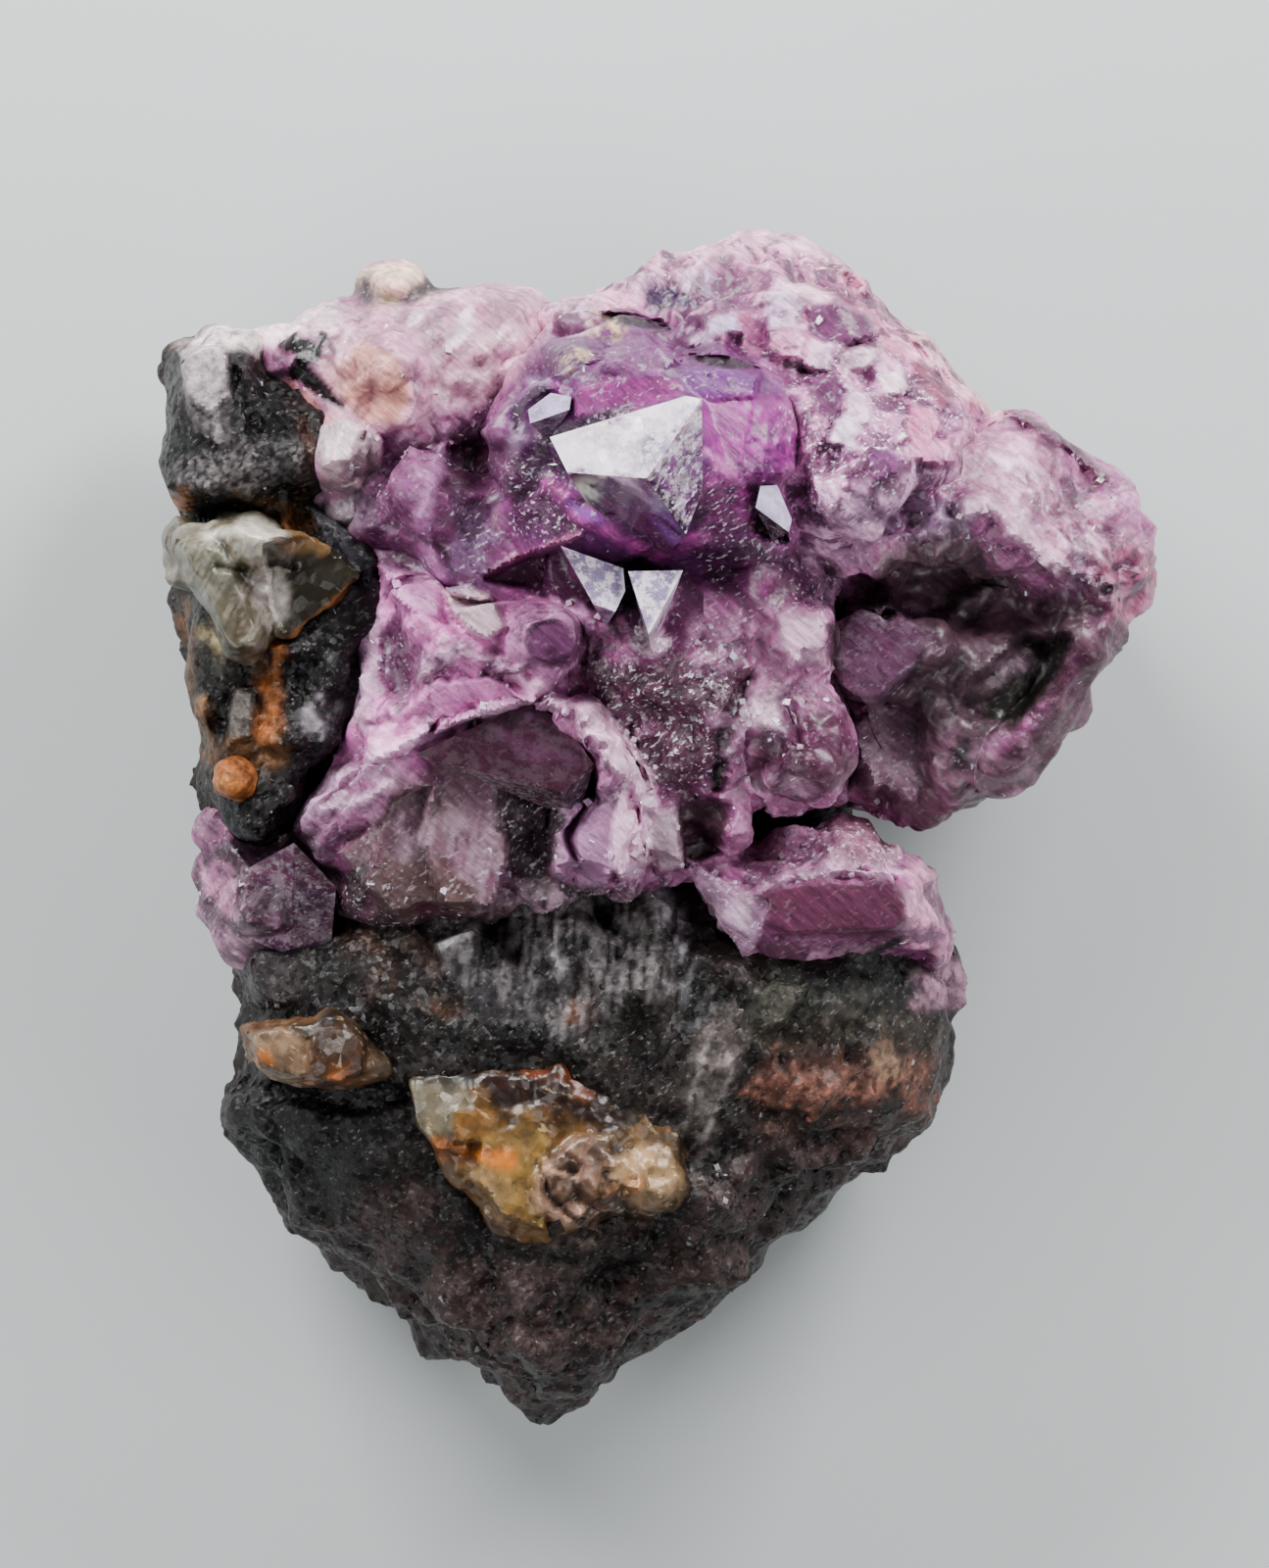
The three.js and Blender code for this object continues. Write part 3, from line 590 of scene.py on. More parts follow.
rockMarks = {
    "grey quartz low": facet([(186, 392), (237, 392), (238, 462), (214, 466), (198, 440)],
        (104, 98, 104), (0.1, 0.1, 0.1), frost=1.6, glitter=5),
    "quartz at the top": facet([(180, 350), (206, 338), (232, 362), (236, 405), (214, 424),
        (192, 404)], (186, 178, 186), (0.2, 0.1, -0.3), frost=1.6),
    "pale streak in it": line([(212, 380), (220, 420), (222, 450)], 9, (206, 200, 208), soft=3),
    "pink white corner": dot((250, 338), (72, 24), (250, 236, 242), frost=2),
    "brown corner": dot((186, 342), (10, 14), (86, 58, 46)),
    "black wedge": patch([(236, 359), (264, 374), (315, 426), (322, 492), (308, 507), (249, 507),
        (182, 522), (167, 467), (182, 433), (234, 448)], (14, 12, 14), frost=0.7, glitter=2),
    "wedge face": facet([(242, 370), (264, 378), (312, 430), (300, 455), (252, 440)], (18, 16, 18),
        (0.1, 0.25, 0.2)),
    "wedge glints": patch([(176, 470), (250, 455), (318, 450), (316, 500), (250, 505), (184, 515)],
        (170, 166, 170), streak=(-60, 0.25, 0.05), share=0.3),
    "brown wedge edge": line([(310, 430), (318, 470), (308, 500)], 12, (74, 46, 34)),
    "gold spot at the rim": dot((186, 518), (13, 14), (150, 98, 52)),
    # Painted shade: slot over the ledge darkens the slot above the quartz ledge
    "slot over the ledge": line([(184, 532), (215, 524), (245, 515)], 14, (12, 10, 10), rise=-0.6),
    "gold brown band": patch([(246, 510), (312, 508), (322, 540), (285, 548), (240, 532)],
        (104, 76, 48), frost=1.4),
    "orange in the band": dot((302, 534), (12, 9), (196, 122, 66)),
    "dark grey wedge": facet([(316, 518), (345, 530), (384, 578), (372, 596), (330, 560)],
        (62, 62, 68), (0.2, 0.2, 0.3)),
    "black drusy wall": patch([(300, 640), (340, 605), (382, 575), (386, 650), (360, 720),
        (345, 790), (290, 810), (285, 720)], (18, 16, 18), glitter=4),
    "frost on the wall": patch([(306, 722), (325, 708), (345, 716), (340, 738), (326, 746),
        (312, 736)], (150, 146, 156), ragged=0.9, streak=(40, 0.8, 0.25)),
    "limonite vein": line([(275, 660), (268, 690), (276, 715), (270, 750)], 22, (150, 88, 42),
        rise=0.15, frost=0.5),
    "tan blob": dot((208, 729), (11, 18), (186, 136, 92), rise=0.4, frost=0.3),
    "green grey wall": patch([(198, 630), (236, 668), (232, 710), (205, 700)], (58, 58, 52)),
    "yellow patch": dot((222, 655), (12, 16), (150, 138, 98)),
    "brown left edge": line([(190, 615), (188, 660), (194, 720), (206, 770)], 16, (92, 68, 48)),
    "grey block": facet([(240, 703), (258, 708), (256, 752), (236, 758), (232, 728)], (98, 94, 90),
        (0.45, -0.3, 0), frost=0.6),
    "gold under the block": dot((252, 772), (32, 18), (122, 86, 54)),
    "black wall tip": patch([(224, 815), (262, 822), (300, 790), (290, 850), (262, 872),
        (236, 858)], (16, 15, 17), frost=0.5, glitter=2),
    "dark brow": patch([(235, 960), (330, 935), (480, 925), (640, 930), (720, 985), (745, 1040),
        (560, 1080), (240, 1045)], (26, 21, 20), soft=16, frost=0.5),
    "left grey crystals": facet([(240, 985), (262, 968), (300, 975), (318, 1000), (300, 1024),
        (246, 1028)], (60, 56, 58), (0.2, 0, 0.15), glitter=4),
    "tan left corner": dot((228, 988), (12, 22), (128, 98, 66)),
    "brown patch": dot((400, 980), (56, 44), (50, 34, 27), turn=-20),
    "rust spot": dot((453, 1022), (22, 15), (104, 62, 32), turn=-30, frost=0.4, share=0.7),
    "rust spot at the right": dot((590, 1030), (18, 14), (84, 50, 30), share=0.7),
    "grey blocks": facet([(444, 962), (482, 948), (500, 955), (520, 985), (560, 1000), (548, 1040),
        (500, 1046), (455, 1000)], (52, 50, 54), (0.15, 0.1, 0.2), frost=0.8, glitter=2),
    "white block edge": line([(448, 966), (484, 948)], 7, (206, 206, 208)),
    # Painted shade: black gap left and black gap right darken the two gaps in the brow
    "black gap left": patch([(486, 922), (520, 930), (530, 975), (505, 990), (488, 960)], (8, 7, 8),
        rise=-0.5),
    "black gap right": patch([(580, 918), (624, 928), (640, 985), (600, 1000), (582, 965)],
        (8, 7, 8), rise=-0.4),
    "white seam": line([(568, 925), (562, 960), (572, 1000), (568, 1058)], 9, (176, 176, 182),
        rise=0.2, ragged=0.5, streak=(80, 0.7, 0.3), share=0.7, frost=0.4),
    "frost seam": line([(652, 880), (684, 934), (706, 986), (716, 1030)], 22, (176, 178, 186),
        ragged=0.8, streak=(70, 1, 0.25), glitter=4, share=0.7, frost=0.4),
    "silver streaks": patch([(430, 925), (660, 915), (690, 1010), (600, 1050), (470, 1020)],
        (140, 136, 140), share=0.5, streak=(82, 1.8, 0.1), soft=16, ragged=1.5, glitter=4),
    "green black brow": patch([(775, 985), (840, 972), (930, 978), (945, 1010), (900, 1040),
        (790, 1050), (750, 1040)], (36, 38, 33), soft=12),
    # Painted shade: black under the shelf darkens the rock below the crust's shelf, where its
    # shadow falls
    "black under the shelf": line([(830, 985), (890, 990), (940, 1005)], 26, (10, 10, 10)),
    "grey green facet": facet([(755, 1030), (790, 1000), (822, 1010), (800, 1048), (765, 1060)],
        (74, 74, 66), (0.2, 0.2, 0.2)),
    "olive grey band": line([(745, 1050), (810, 1055), (900, 1045), (950, 1060)], 36, (58, 52, 44),
        share=0.8, glitter=2),
    "grey blue vein": line([(742, 1052), (728, 1095), (712, 1140), (700, 1185)], 50, (92, 86, 84),
        share=0.85, frost=0.5),
    "vein line left": line([(722, 1062), (708, 1110), (694, 1170)], 4, (150, 146, 146)),
    "vein line right": line([(742, 1066), (744, 1100), (724, 1150), (706, 1192)], 4,
        (156, 150, 150)),
    "pink on the corner": dot((958, 1004), (32, 28), (150, 112, 136), ragged=0.8, frost=0.3),
    "salmon patch": patch([(775, 1085), (830, 1072), (900, 1068), (950, 1080), (952, 1130),
        (930, 1165), (880, 1185), (820, 1172), (770, 1155)], (96, 64, 56), soft=20, ragged=1,
        glitter=3),
    "bright salmon": dot((862, 1122), (84, 36), (150, 100, 84), turn=-4, ragged=1.6,
        streak=(20, 0.4, 0.25), glitter=5),
    "tan in the salmon": dot((905, 1085), (18, 14), (150, 124, 100), share=0.8),
    "near-black bulge": patch([(222, 1130), (245, 1110), (400, 1112), (410, 1170), (380, 1240),
        (290, 1230), (240, 1180)], (14, 12, 12), soft=20),
    # Painted shade: black under the ledge darkens the rock below the golden ledge, where its shadow
    # falls
    "black under the ledge": line([(250, 1112), (320, 1120), (415, 1118)], 20, (6, 6, 6),
        rise=-0.5),
    "brown drusy bottom": dot((560, 1310), (270, 130), (58, 43, 42), share=0.9, glitter=5),
    "brown right side": dot((830, 1200), (130, 55), (56, 42, 42), turn=24, share=0.9, glitter=5),
    "grey under the nodule": dot((588, 1278), (34, 20), (112, 100, 92), streak=(80, 0.9, 0.2)),
    "dark round the lump": line([(408, 1110), (415, 1180), (470, 1225), (500, 1270), (580, 1285),
        (660, 1272), (705, 1220)], 18, (26, 20, 18), rise=0.1),
}
crustMarks = {
    "crown pink": dot((800, 300), (230, 80), (198, 142, 176), turn=-28, soft=20),
    "crown pale rim": line([(640, 290), (700, 262), (760, 248), (830, 250), (880, 290), (940, 345)],
        26, (240, 206, 220), share=0.7, ragged=0.8),
    "crown crack": line([(838, 270), (863, 282), (884, 302)], 6, (112, 74, 58), rise=-0.3),
    "crown right": line([(880, 300), (930, 345), (975, 400)], 60, (200, 132, 162), share=0.8),
    "peach edge": line([(937, 338), (982, 393), (1013, 416)], 26, (246, 208, 202), rise=0.4,
        frost=1.4),
    "orange line": line([(978, 405), (990, 425), (996, 441)], 5, (196, 108, 90)),
    "crown far left": dot((590, 306), (75, 26), (228, 190, 206), soft=14),
    "crown dusk": line([(650, 290), (700, 300), (745, 320)], 26, (112, 88, 118), share=0.7,
        ragged=1.4),
    "grains beside the pool": patch([(830, 400), (862, 400), (908, 470), (900, 545), (850, 606),
        (806, 600), (822, 540), (834, 470)], (196, 164, 194), ragged=1, glitter=6, frost=1.6),
    "plum fissure": line([(751, 352), (790, 370), (838, 393), (848, 434), (842, 480)], 18,
        (86, 48, 80), rise=-0.35, ragged=1),
    "dome purple": patch([(505, 400), (560, 350), (640, 325), (740, 345), (806, 388), (826, 430),
        (828, 480), (814, 520), (800, 560), (770, 590), (700, 610), (600, 600), (530, 560),
        (500, 500)], (104, 50, 110), soft=22, ragged=0.8, frost=0.35, glitter=0.1),
    "dome top lilac": dot((630, 352), (110, 40), (112, 68, 116), turn=6, share=0.8, ragged=1.6,
        frost=0.8, glitter=0.2),
    "dome magenta streaks": dot((625, 392), (80, 34), (140, 66, 136), turn=22,
        streak=(24, 1.6, 0.35)),
    "dome dusk": facet([(552, 356), (598, 344), (612, 370), (578, 388), (546, 376)], (86, 56, 92),
        (0, 0.1, -0.1), ragged=0.5, frost=0.3),
    "dome mauve": facet([(618, 350), (664, 348), (692, 368), (656, 384), (614, 378)],
        (122, 78, 124), (0.1, -0.1, -0.3), ragged=0.5, frost=0.6),
    "dome pink": facet([(590, 396), (640, 388), (690, 386), (706, 400), (640, 416), (584, 430)],
        (136, 66, 126), (0, 0, -0.1), ragged=0.5, frost=0.3),
    "dome violet": facet([(692, 378), (745, 374), (775, 384), (770, 405), (722, 412), (700, 398)],
        (112, 58, 132), (0.2, 0, -0.3), frost=0.3),
    "beside the pool": patch([(802, 432), (824, 420), (832, 480), (818, 540), (796, 590),
        (778, 562), (800, 500)], (190, 130, 184), glitter=4),
    "magenta pool": facet([(718, 410), (760, 402), (806, 412), (818, 440), (812, 480), (790, 492),
        (752, 490), (722, 455)], (164, 58, 156), (0, -0.1, -0.25), soft=10, ragged=0.4, frost=0,
        glitter=0),
    "ripples": patch([(745, 440), (800, 425), (812, 470), (790, 490), (752, 488)], (96, 26, 98),
        streak=(16, 0.5, 0.12), rise=-0.02, frost=0, share=0.8),
    "pool rim": line([(812, 398), (824, 425), (820, 470), (796, 497)], 12, (206, 150, 196),
        rise=0.1),
    "pink rim under the pool": line([(722, 460), (752, 492), (790, 498)], 10, (212, 140, 200),
        rise=0.05),
    "drusy below the pool": patch([(716, 480), (750, 495), (772, 500), (775, 545), (730, 560),
        (714, 540)], (178, 88, 164), frost=1.6, glitter=6),
    "deep left of the crystal": patch([(510, 470), (560, 452), (566, 500), (600, 530), (560, 556),
        (520, 540)], (84, 30, 80), frost=0.8, glitter=5),
    "silver edge": line([(548, 486), (552, 452), (600, 430), (640, 418)], 12, (84, 74, 88),
        frost=2.5, glitter=4),
    "magenta band": line([(560, 494), (598, 524), (636, 553), (675, 566), (712, 548)], 16,
        (186, 88, 168), rise=0.2, frost=0.4),
    "violet glint": line([(580, 512), (612, 532)], 8, (150, 96, 196), frost=0),
    "dark sliver": patch([(612, 318), (640, 319), (680, 331), (688, 340), (640, 332), (616, 328)],
        (46, 40, 44), soft=1.5, ragged=0, frost=0, rise=-0.3, glitter=0),
    "lower sliver": patch([(702, 362), (747, 364), (777, 376), (742, 377), (708, 369)],
        (44, 34, 42), soft=1.5, ragged=0, frost=0, rise=-0.3, glitter=0),
    "lilac facet": facet([(700, 356), (704, 343), (730, 334), (727, 352)], (196, 184, 208),
        (0.2, 0, -0.3), frost=0, glitter=0),
    "dark chip": patch([(725, 352), (735, 337), (742, 352)], (50, 38, 48), soft=2, frost=0),
    "green specks": dot((618, 332), (15, 11), (236, 240, 160), ragged=1.6, streak=(-40, 0.4, 0.12)),
    "green specks lower": dot((587, 365), (11, 7), (236, 242, 160), ragged=1.2,
        streak=(-40, 0.4, 0.12)),
    "grey patch": dot((582, 322), (15, 16), (204, 194, 202), ragged=1),
    "dark facets left": facet([(518, 420), (547, 386), (566, 396), (540, 414), (527, 442)],
        (74, 52, 80), (0.1, 0.4, 0.2), frost=0.3),
    "lilac chip": facet([(536, 387), (557, 377), (561, 388), (540, 396)], (178, 168, 196),
        (0.3, 0, -0.3), frost=0),
    "pale specks": dot((524, 452), (8, 10), (206, 200, 214), ragged=0.6),
    # Painted shade: slot by the right face darkens the slot beside the small right crystal
    "slot by the right face": patch([(770, 520), (802, 544), (808, 552), (790, 554), (770, 538)],
        (30, 12, 28), rise=-0.4, soft=3, frost=0),
    # Painted shade: dark under the dome and the plum wedge darken the crust below the dome's lower
    # edge, where its shade falls
    "dark under the dome": patch([(712, 566), (775, 556), (828, 560), (852, 585), (846, 625),
        (800, 628), (722, 600)], (84, 40, 78), soft=10, ragged=0.8, frost=0.6, glitter=4),
    "magenta under the dome": dot((785, 598), (34, 18), (122, 56, 108), ragged=0.8),
    "plum wedge": facet([(492, 590), (540, 566), (572, 562), (604, 612), (622, 628), (576, 618),
        (524, 600)], (82, 32, 74), (-0.5, 0, 0.1), soft=5, frost=0.2),
    "fine ridge": line([(494, 586), (540, 563), (592, 545)], 4, (178, 116, 148), rise=0.25, soft=3),
    # Painted shade: between the hanging faces darkens the gap between the two hanging crystals
    "between the hanging faces": patch([(634, 575), (642, 585), (660, 645), (650, 650), (634, 625)],
        (78, 38, 74), soft=3, frost=0),
    "plum beside the right face": facet([(698, 580), (714, 592), (716, 640), (700, 672), (672, 660),
        (690, 610)], (104, 50, 92), (0, 0.3, -0.3), frost=0.2),
    "white broken tip": facet([(641, 648), (664, 644), (684, 652), (680, 668), (662, 676),
        (646, 666)], (250, 248, 252), (0.4, 0, -0.5), ragged=0.6, glitter=8),
    "sparkling slope": patch([(590, 660), (650, 672), (705, 668), (770, 640), (765, 700),
        (735, 770), (700, 830), (668, 800), (630, 735), (590, 700)], (84, 38, 68), soft=12,
        frost=0.8, glitter=5),
    "pale slope crest": dot((735, 660), (30, 34), (176, 136, 166), ragged=1, glitter=5),
    # Painted shade: slope fissure and black cavity darken the fissure and the cavity under the
    # column, where shade falls
    "slope fissure": line([(764, 690), (742, 740), (730, 800)], 14, (42, 16, 34), rise=-0.5),
    "black cavity": patch([(686, 822), (722, 812), (748, 832), (742, 868), (704, 878), (690, 856)],
        (70, 46, 56), rise=-0.5, soft=5, frost=0, glitter=0),
    "column face": patch([(760, 640), (800, 616), (845, 628), (872, 730), (870, 800), (800, 826),
        (755, 790)], (176, 124, 160), soft=12),
    "column head": facet([(793, 626), (838, 630), (842, 672), (808, 680), (795, 655)],
        (218, 194, 212), (0.1, -0.1, -0.3), soft=5, frost=1.3),
    "column belly": dot((822, 766), (52, 50), (84, 44, 70), ragged=1, frost=0.2, glitter=0.3),
    "column crystals": dot((780, 725), (16, 20), (232, 214, 228), ragged=1.6, glitter=4),
    "column pit": dot((810, 800), (14, 9), (150, 124, 142)),
    # Painted shade: slot by the bud darkens the slot beside the bud
    "slot by the bud": line([(850, 640), (856, 680), (864, 712)], 12, (52, 42, 46), frost=0,
        glitter=0),
    "shoulder": dot((905, 440), (95, 80), (190, 140, 178), turn=-30, soft=20, ragged=1.5, frost=1.4,
        glitter=7),
    "shoulder plum": dot((880, 470), (34, 44), (122, 78, 118), turn=20, share=0.8, ragged=1.8,
        glitter=7),
    "haze band": line([(838, 556), (900, 512), (968, 470), (1010, 462)], 44, (214, 190, 212),
        share=0.75, ragged=1.2, frost=1.6),
    "crown shade left": facet([(650, 300), (672, 290), (700, 298), (724, 312), (700, 320),
        (668, 314)], (60, 40, 74), (0, 0.1, -0.1), ragged=0.4, frost=0.3),
    "crown lilac left": facet([(690, 280), (722, 270), (742, 284), (730, 306), (704, 300)],
        (214, 206, 231), (0.1, -0.1, -0.7), ragged=0.3, frost=0.5),
    "crown mauve top": facet([(724, 278), (752, 268), (788, 276), (796, 292), (770, 302),
        (742, 296)], (135, 85, 119), (0, 0.1, -0.3), ragged=0.3, frost=0.3),
    "crown pale band": facet([(792, 282), (822, 284), (850, 300), (846, 312), (812, 302),
        (790, 296)], (242, 217, 228), (0.1, 0, -0.8), ragged=0.3),
    "crown mauve right": facet([(822, 286), (850, 284), (872, 300), (884, 314), (862, 314),
        (842, 300)], (144, 94, 122), (0, 0.2, -0.4), ragged=0.3, frost=0.3),
    "crown lilac facet": facet([(776, 300), (806, 292), (822, 312), (812, 334), (786, 336)],
        (228, 225, 245), (0.2, -0.1, -0.7), ragged=0.4, frost=0.6),
    "crown plum": facet([(822, 314), (850, 308), (884, 316), (892, 340), (878, 352), (846, 348),
        (824, 340)], (104, 54, 99), (-0.1, 0.1, -0.2), ragged=0.4, frost=0.3),
    "plum streak": line([(838, 334), (862, 324), (886, 330)], 9, (98, 56, 92), soft=4),
    "crown rose": facet([(753, 320), (772, 318), (782, 345), (774, 362), (756, 352)],
        (176, 104, 148), (0, -0.2, -0.1), ragged=0.3, frost=0.3),
    "crown lilac chip": facet([(716, 324), (750, 320), (755, 338), (724, 342)], (211, 211, 234),
        (0.1, 0.1, -0.6), ragged=0.2, frost=0.4),
    # Painted shade: crown dark nick darkens a small notch in the crown
    "crown dark nick": patch([(779, 356), (821, 366), (824, 380), (800, 376)], (43, 20, 38),
        rise=-0.3, soft=4, ragged=0.4),
    "crown plum band": facet([(826, 388), (856, 384), (862, 412), (850, 436), (836, 420)],
        (113, 71, 110), (-0.1, 0.2, -0.1), ragged=0.5, frost=0.3),
    "crown pale low": facet([(864, 394), (890, 402), (888, 432), (866, 430)], (233, 225, 242),
        (0.1, -0.1, -0.6), ragged=0.5),
    "crown pale middle": facet([(826, 352), (848, 354), (846, 378), (826, 374)], (236, 228, 245),
        (0.1, 0, -0.6), ragged=0.5),
    "crown white facet": facet([(854, 362), (880, 350), (898, 356), (886, 376), (862, 380)],
        (252, 252, 252), (0.2, 0.1, -0.8), ragged=0.1, frost=0.6),
    "crown plum low": facet([(874, 380), (894, 366), (896, 390), (882, 396)], (90, 40, 80),
        (-0.1, 0.2, 0.1), ragged=0.2, frost=0.2),
    "crown white patch": facet([(896, 384), (918, 376), (926, 398), (906, 406)], (252, 250, 252),
        (0.1, 0, -0.7), ragged=0.4),
    "crown pink right": facet([(900, 328), (930, 346), (950, 366), (926, 368), (904, 350)],
        (222, 158, 183), (0, 0.1, -0.5), ragged=0.4),
    "crown plum right": facet([(924, 362), (950, 374), (976, 404), (962, 416), (938, 396)],
        (135, 66, 96), (0, 0.2, -0.2), ragged=0.4, frost=0.3),
    "crown rose low": facet([(930, 410), (956, 418), (962, 446), (936, 450), (922, 430)],
        (214, 136, 175), (0, 0.1, -0.4), ragged=0.5),
    "shoulder crystal": facet([(886, 462), (906, 456), (924, 468), (918, 488), (896, 490)],
        (130, 85, 133), (0.2, 0.2, -0.2), ragged=0.3, frost=0.3),
    "shoulder white": facet([(852, 432), (872, 426), (882, 444), (866, 458), (852, 450)],
        (239, 236, 250), (0.1, -0.2, -0.5), ragged=0.5),
    "shoulder pink": facet([(926, 452), (958, 440), (982, 446), (976, 470), (944, 480)],
        (225, 155, 194), (0.1, 0, -0.4), ragged=0.5),
    "lobe top": patch([(960, 450), (1030, 425), (1110, 480), (1165, 560), (1120, 590), (1060, 560),
        (990, 500)], (190, 144, 172), soft=14),
    "lobe streaks": patch([(1010, 470), (1080, 470), (1150, 550), (1170, 590), (1100, 570),
        (1040, 530)], (232, 214, 226), streak=(-64, 0.9, 0.14), soft=12, frost=1.4, scratches=0.3),
    "dark prism": line([(1034, 420), (1086, 449), (1124, 486)], 12, (98, 62, 82), rise=0.4, soft=3,
        frost=0.3),
    "grey violet": dot((942, 528), (46, 26), (120, 98, 126), turn=-10, ragged=1.4),
    "white ridge": line([(985, 515), (1012, 517), (1040, 542), (1066, 572), (1112, 590)], 18,
        (222, 204, 216), rise=0.5, ragged=0.6, soft=6),
    # Painted shade: lobe underside, black hollow and green black hollow darken the lobe's concave
    # underside where shade falls in it
    "lobe underside": patch([(860, 640), (900, 560), (985, 545), (1050, 600), (1120, 600),
        (1110, 670), (1050, 740), (990, 770), (890, 740)], (92, 74, 82), soft=12, frost=0.1,
        glitter=0.1, scratches=0.1),
    "black hollow": patch([(905, 600), (915, 555), (970, 548), (1000, 560), (1020, 600),
        (1000, 632), (950, 622)], (80, 66, 72), rise=-0.2, ragged=1, frost=0.2, glitter=0.1),
    "green black hollow": patch([(1000, 690), (1050, 655), (1092, 652), (1080, 700), (1040, 742),
        (985, 722)], (30, 34, 26), rise=-0.7, soft=7, ragged=0.8, frost=0, glitter=0),
    "haze in the hollow": line([(985, 706), (1015, 690), (1048, 672)], 18, (96, 84, 90), share=0.8,
        ragged=0.8),
    "lobe pink": patch([(1112, 580), (1150, 556), (1180, 565), (1190, 600), (1160, 640),
        (1130, 655), (1108, 620)], (146, 84, 110), frost=0.7, glitter=0.3),
    "lobe rim": line([(1135, 650), (1095, 710), (1060, 770), (1000, 812), (945, 848)], 44,
        (88, 60, 74), frost=0.2, glitter=0.2),
    "lobe foot": patch([(875, 740), (920, 730), (975, 745), (1000, 790), (950, 852), (900, 826),
        (868, 800)], (108, 80, 94), glitter=0.2, frost=0.3),
    "foot specks": dot((980, 768), (10, 12), (24, 22, 24), ragged=1, frost=0),
    "small knob": dot((1127, 603), (17, 15), (164, 132, 150), rise=0.35, soft=5, frost=0.3),
    # Painted shade: knob hole darkens the small pit in the knob
    "knob hole": dot((1133, 601), (5, 4), (40, 24, 34), rise=-0.2, soft=3, frost=0),
    "foot crystals": facet([(874, 738), (905, 722), (940, 730), (948, 770), (925, 812), (890, 806),
        (872, 770)], (132, 108, 124), (0.1, -0.1, -0.2), ragged=0.8, soft=6),
    # Painted shade: lobe grey middle darkens the middle of the lobe's shaded hollow
    "lobe grey middle": patch([(930, 690), (985, 662), (1040, 640), (1010, 690), (985, 740),
        (944, 756)], (74, 62, 66), frost=0.1, ragged=1, glitter=0.1),
    "bud": facet([(866, 622), (904, 614), (944, 640), (960, 656), (938, 668), (925, 692),
        (902, 714), (880, 722), (858, 700), (856, 655)], (96, 66, 90), (0.1, 0.1, -0.1), soft=4,
        glitter=0.3),
    "bud dark edge": line([(962, 658), (940, 670), (928, 694), (904, 716)], 8, (60, 36, 56)),
    "fold pink": patch([(360, 600), (390, 575), (470, 600), (560, 640), (600, 700), (540, 760),
        (420, 800), (345, 760)], (214, 136, 196), soft=14),
    "green white facet": facet([(451, 604), (478, 596), (500, 606), (518, 640), (500, 652),
        (488, 650), (462, 626)], (228, 226, 222), (0.5, -0.1, -0.2), frost=0.6),
    "pink facet": facet([(388, 578), (412, 582), (448, 606), (452, 632), (420, 626), (394, 604)],
        (222, 164, 214), (0.4, 0, -0.25), frost=0.8),
    "plum pit": line([(396, 650), (402, 675), (412, 698)], 24, (88, 50, 82), rise=-0.3, ragged=1),
    "fold fringe": line([(378, 640), (372, 680), (366, 730)], 26, (206, 176, 204), ragged=1.2,
        frost=2),
    "magenta bowl": facet([(440, 700), (500, 690), (548, 716), (490, 730), (446, 748)],
        (216, 146, 202), (0.2, 0, 0.3), frost=0.2),
    "ring": dot((562, 652), (46, 40), (190, 146, 184), frost=0.6, soft=6, rise=0.4),
    "ring inside": dot((562, 655), (27, 23), (112, 70, 108), frost=0.1, glitter=0.2,
        facet=(-0.35, 0, 0.1)),
    "ring deep": dot((562, 667), (13, 9), (72, 36, 68), soft=4, frost=0, glitter=0),
    "ring dash": line([(548, 637), (566, 633)], 3, (40, 20, 38), soft=2, frost=0),
    "fold crest": line([(432, 684), (470, 662), (520, 684), (560, 712), (598, 730)], 15,
        (228, 204, 224), rise=0.5, soft=6, frost=1.6, share=0.8),
    "crest over the smoky crystal": line([(380, 776), (427, 755), (492, 729), (541, 716),
        (575, 722)], 11, (220, 190, 216), rise=0.4, soft=5),
    "pale rim": line([(598, 728), (628, 764), (652, 796), (664, 834), (662, 870)], 26,
        (228, 206, 222), rise=0.6, soft=5, frost=1.3),
    "mauve plate": facet([(564, 822), (600, 812), (632, 800), (640, 860), (612, 922), (563, 892)],
        (190, 156, 190), (0.3, 0.05, 0), frost=0.8, scratches=0.3),
    "pale plate": facet([(632, 800), (655, 800), (664, 850), (655, 900), (630, 896), (622, 870)],
        (236, 212, 230), (0.4, -0.2, 0), frost=1.2),
    "grey plate crystal": facet([(658, 828), (690, 822), (696, 884), (672, 890)], (190, 182, 188),
        (0.2, 0.2, 0.1), frost=1.4),
    "lower fold": patch([(292, 850), (340, 792), (400, 772), (430, 800), (400, 850), (340, 880),
        (300, 878)], (150, 106, 140)),
    "fold crest left": line([(290, 846), (337, 797), (392, 771)], 15, (222, 200, 222), rise=0.3,
        soft=6),
    "fold crest low": line([(330, 826), (372, 816), (398, 800)], 10, (220, 198, 218), rise=0.2),
    "smoky face": patch([(408, 800), (450, 770), (520, 780), (568, 815), (560, 890), (520, 940),
        (400, 944), (350, 880)], (96, 80, 80), soft=14, frost=0.1, glitter=0.5),
    "smoky wedge": facet([(345, 870), (404, 826), (412, 880), (370, 904)], (104, 80, 84),
        (0.1, 0.2, 0.2), scratches=0.15),
    "smoky prism": facet([(446, 802), (480, 784), (516, 802), (520, 870), (502, 930), (452, 920),
        (430, 860)], (112, 96, 96), (0.2, 0.1, -0.1), frost=0.1, ragged=0.3, glitter=0.3),
    "smoky left": facet([(400, 814), (440, 802), (430, 860), (448, 920), (404, 936), (374, 905)],
        (92, 72, 78), (0, -0.2, 0.1), frost=0.1, ragged=0.3, glitter=0.3),
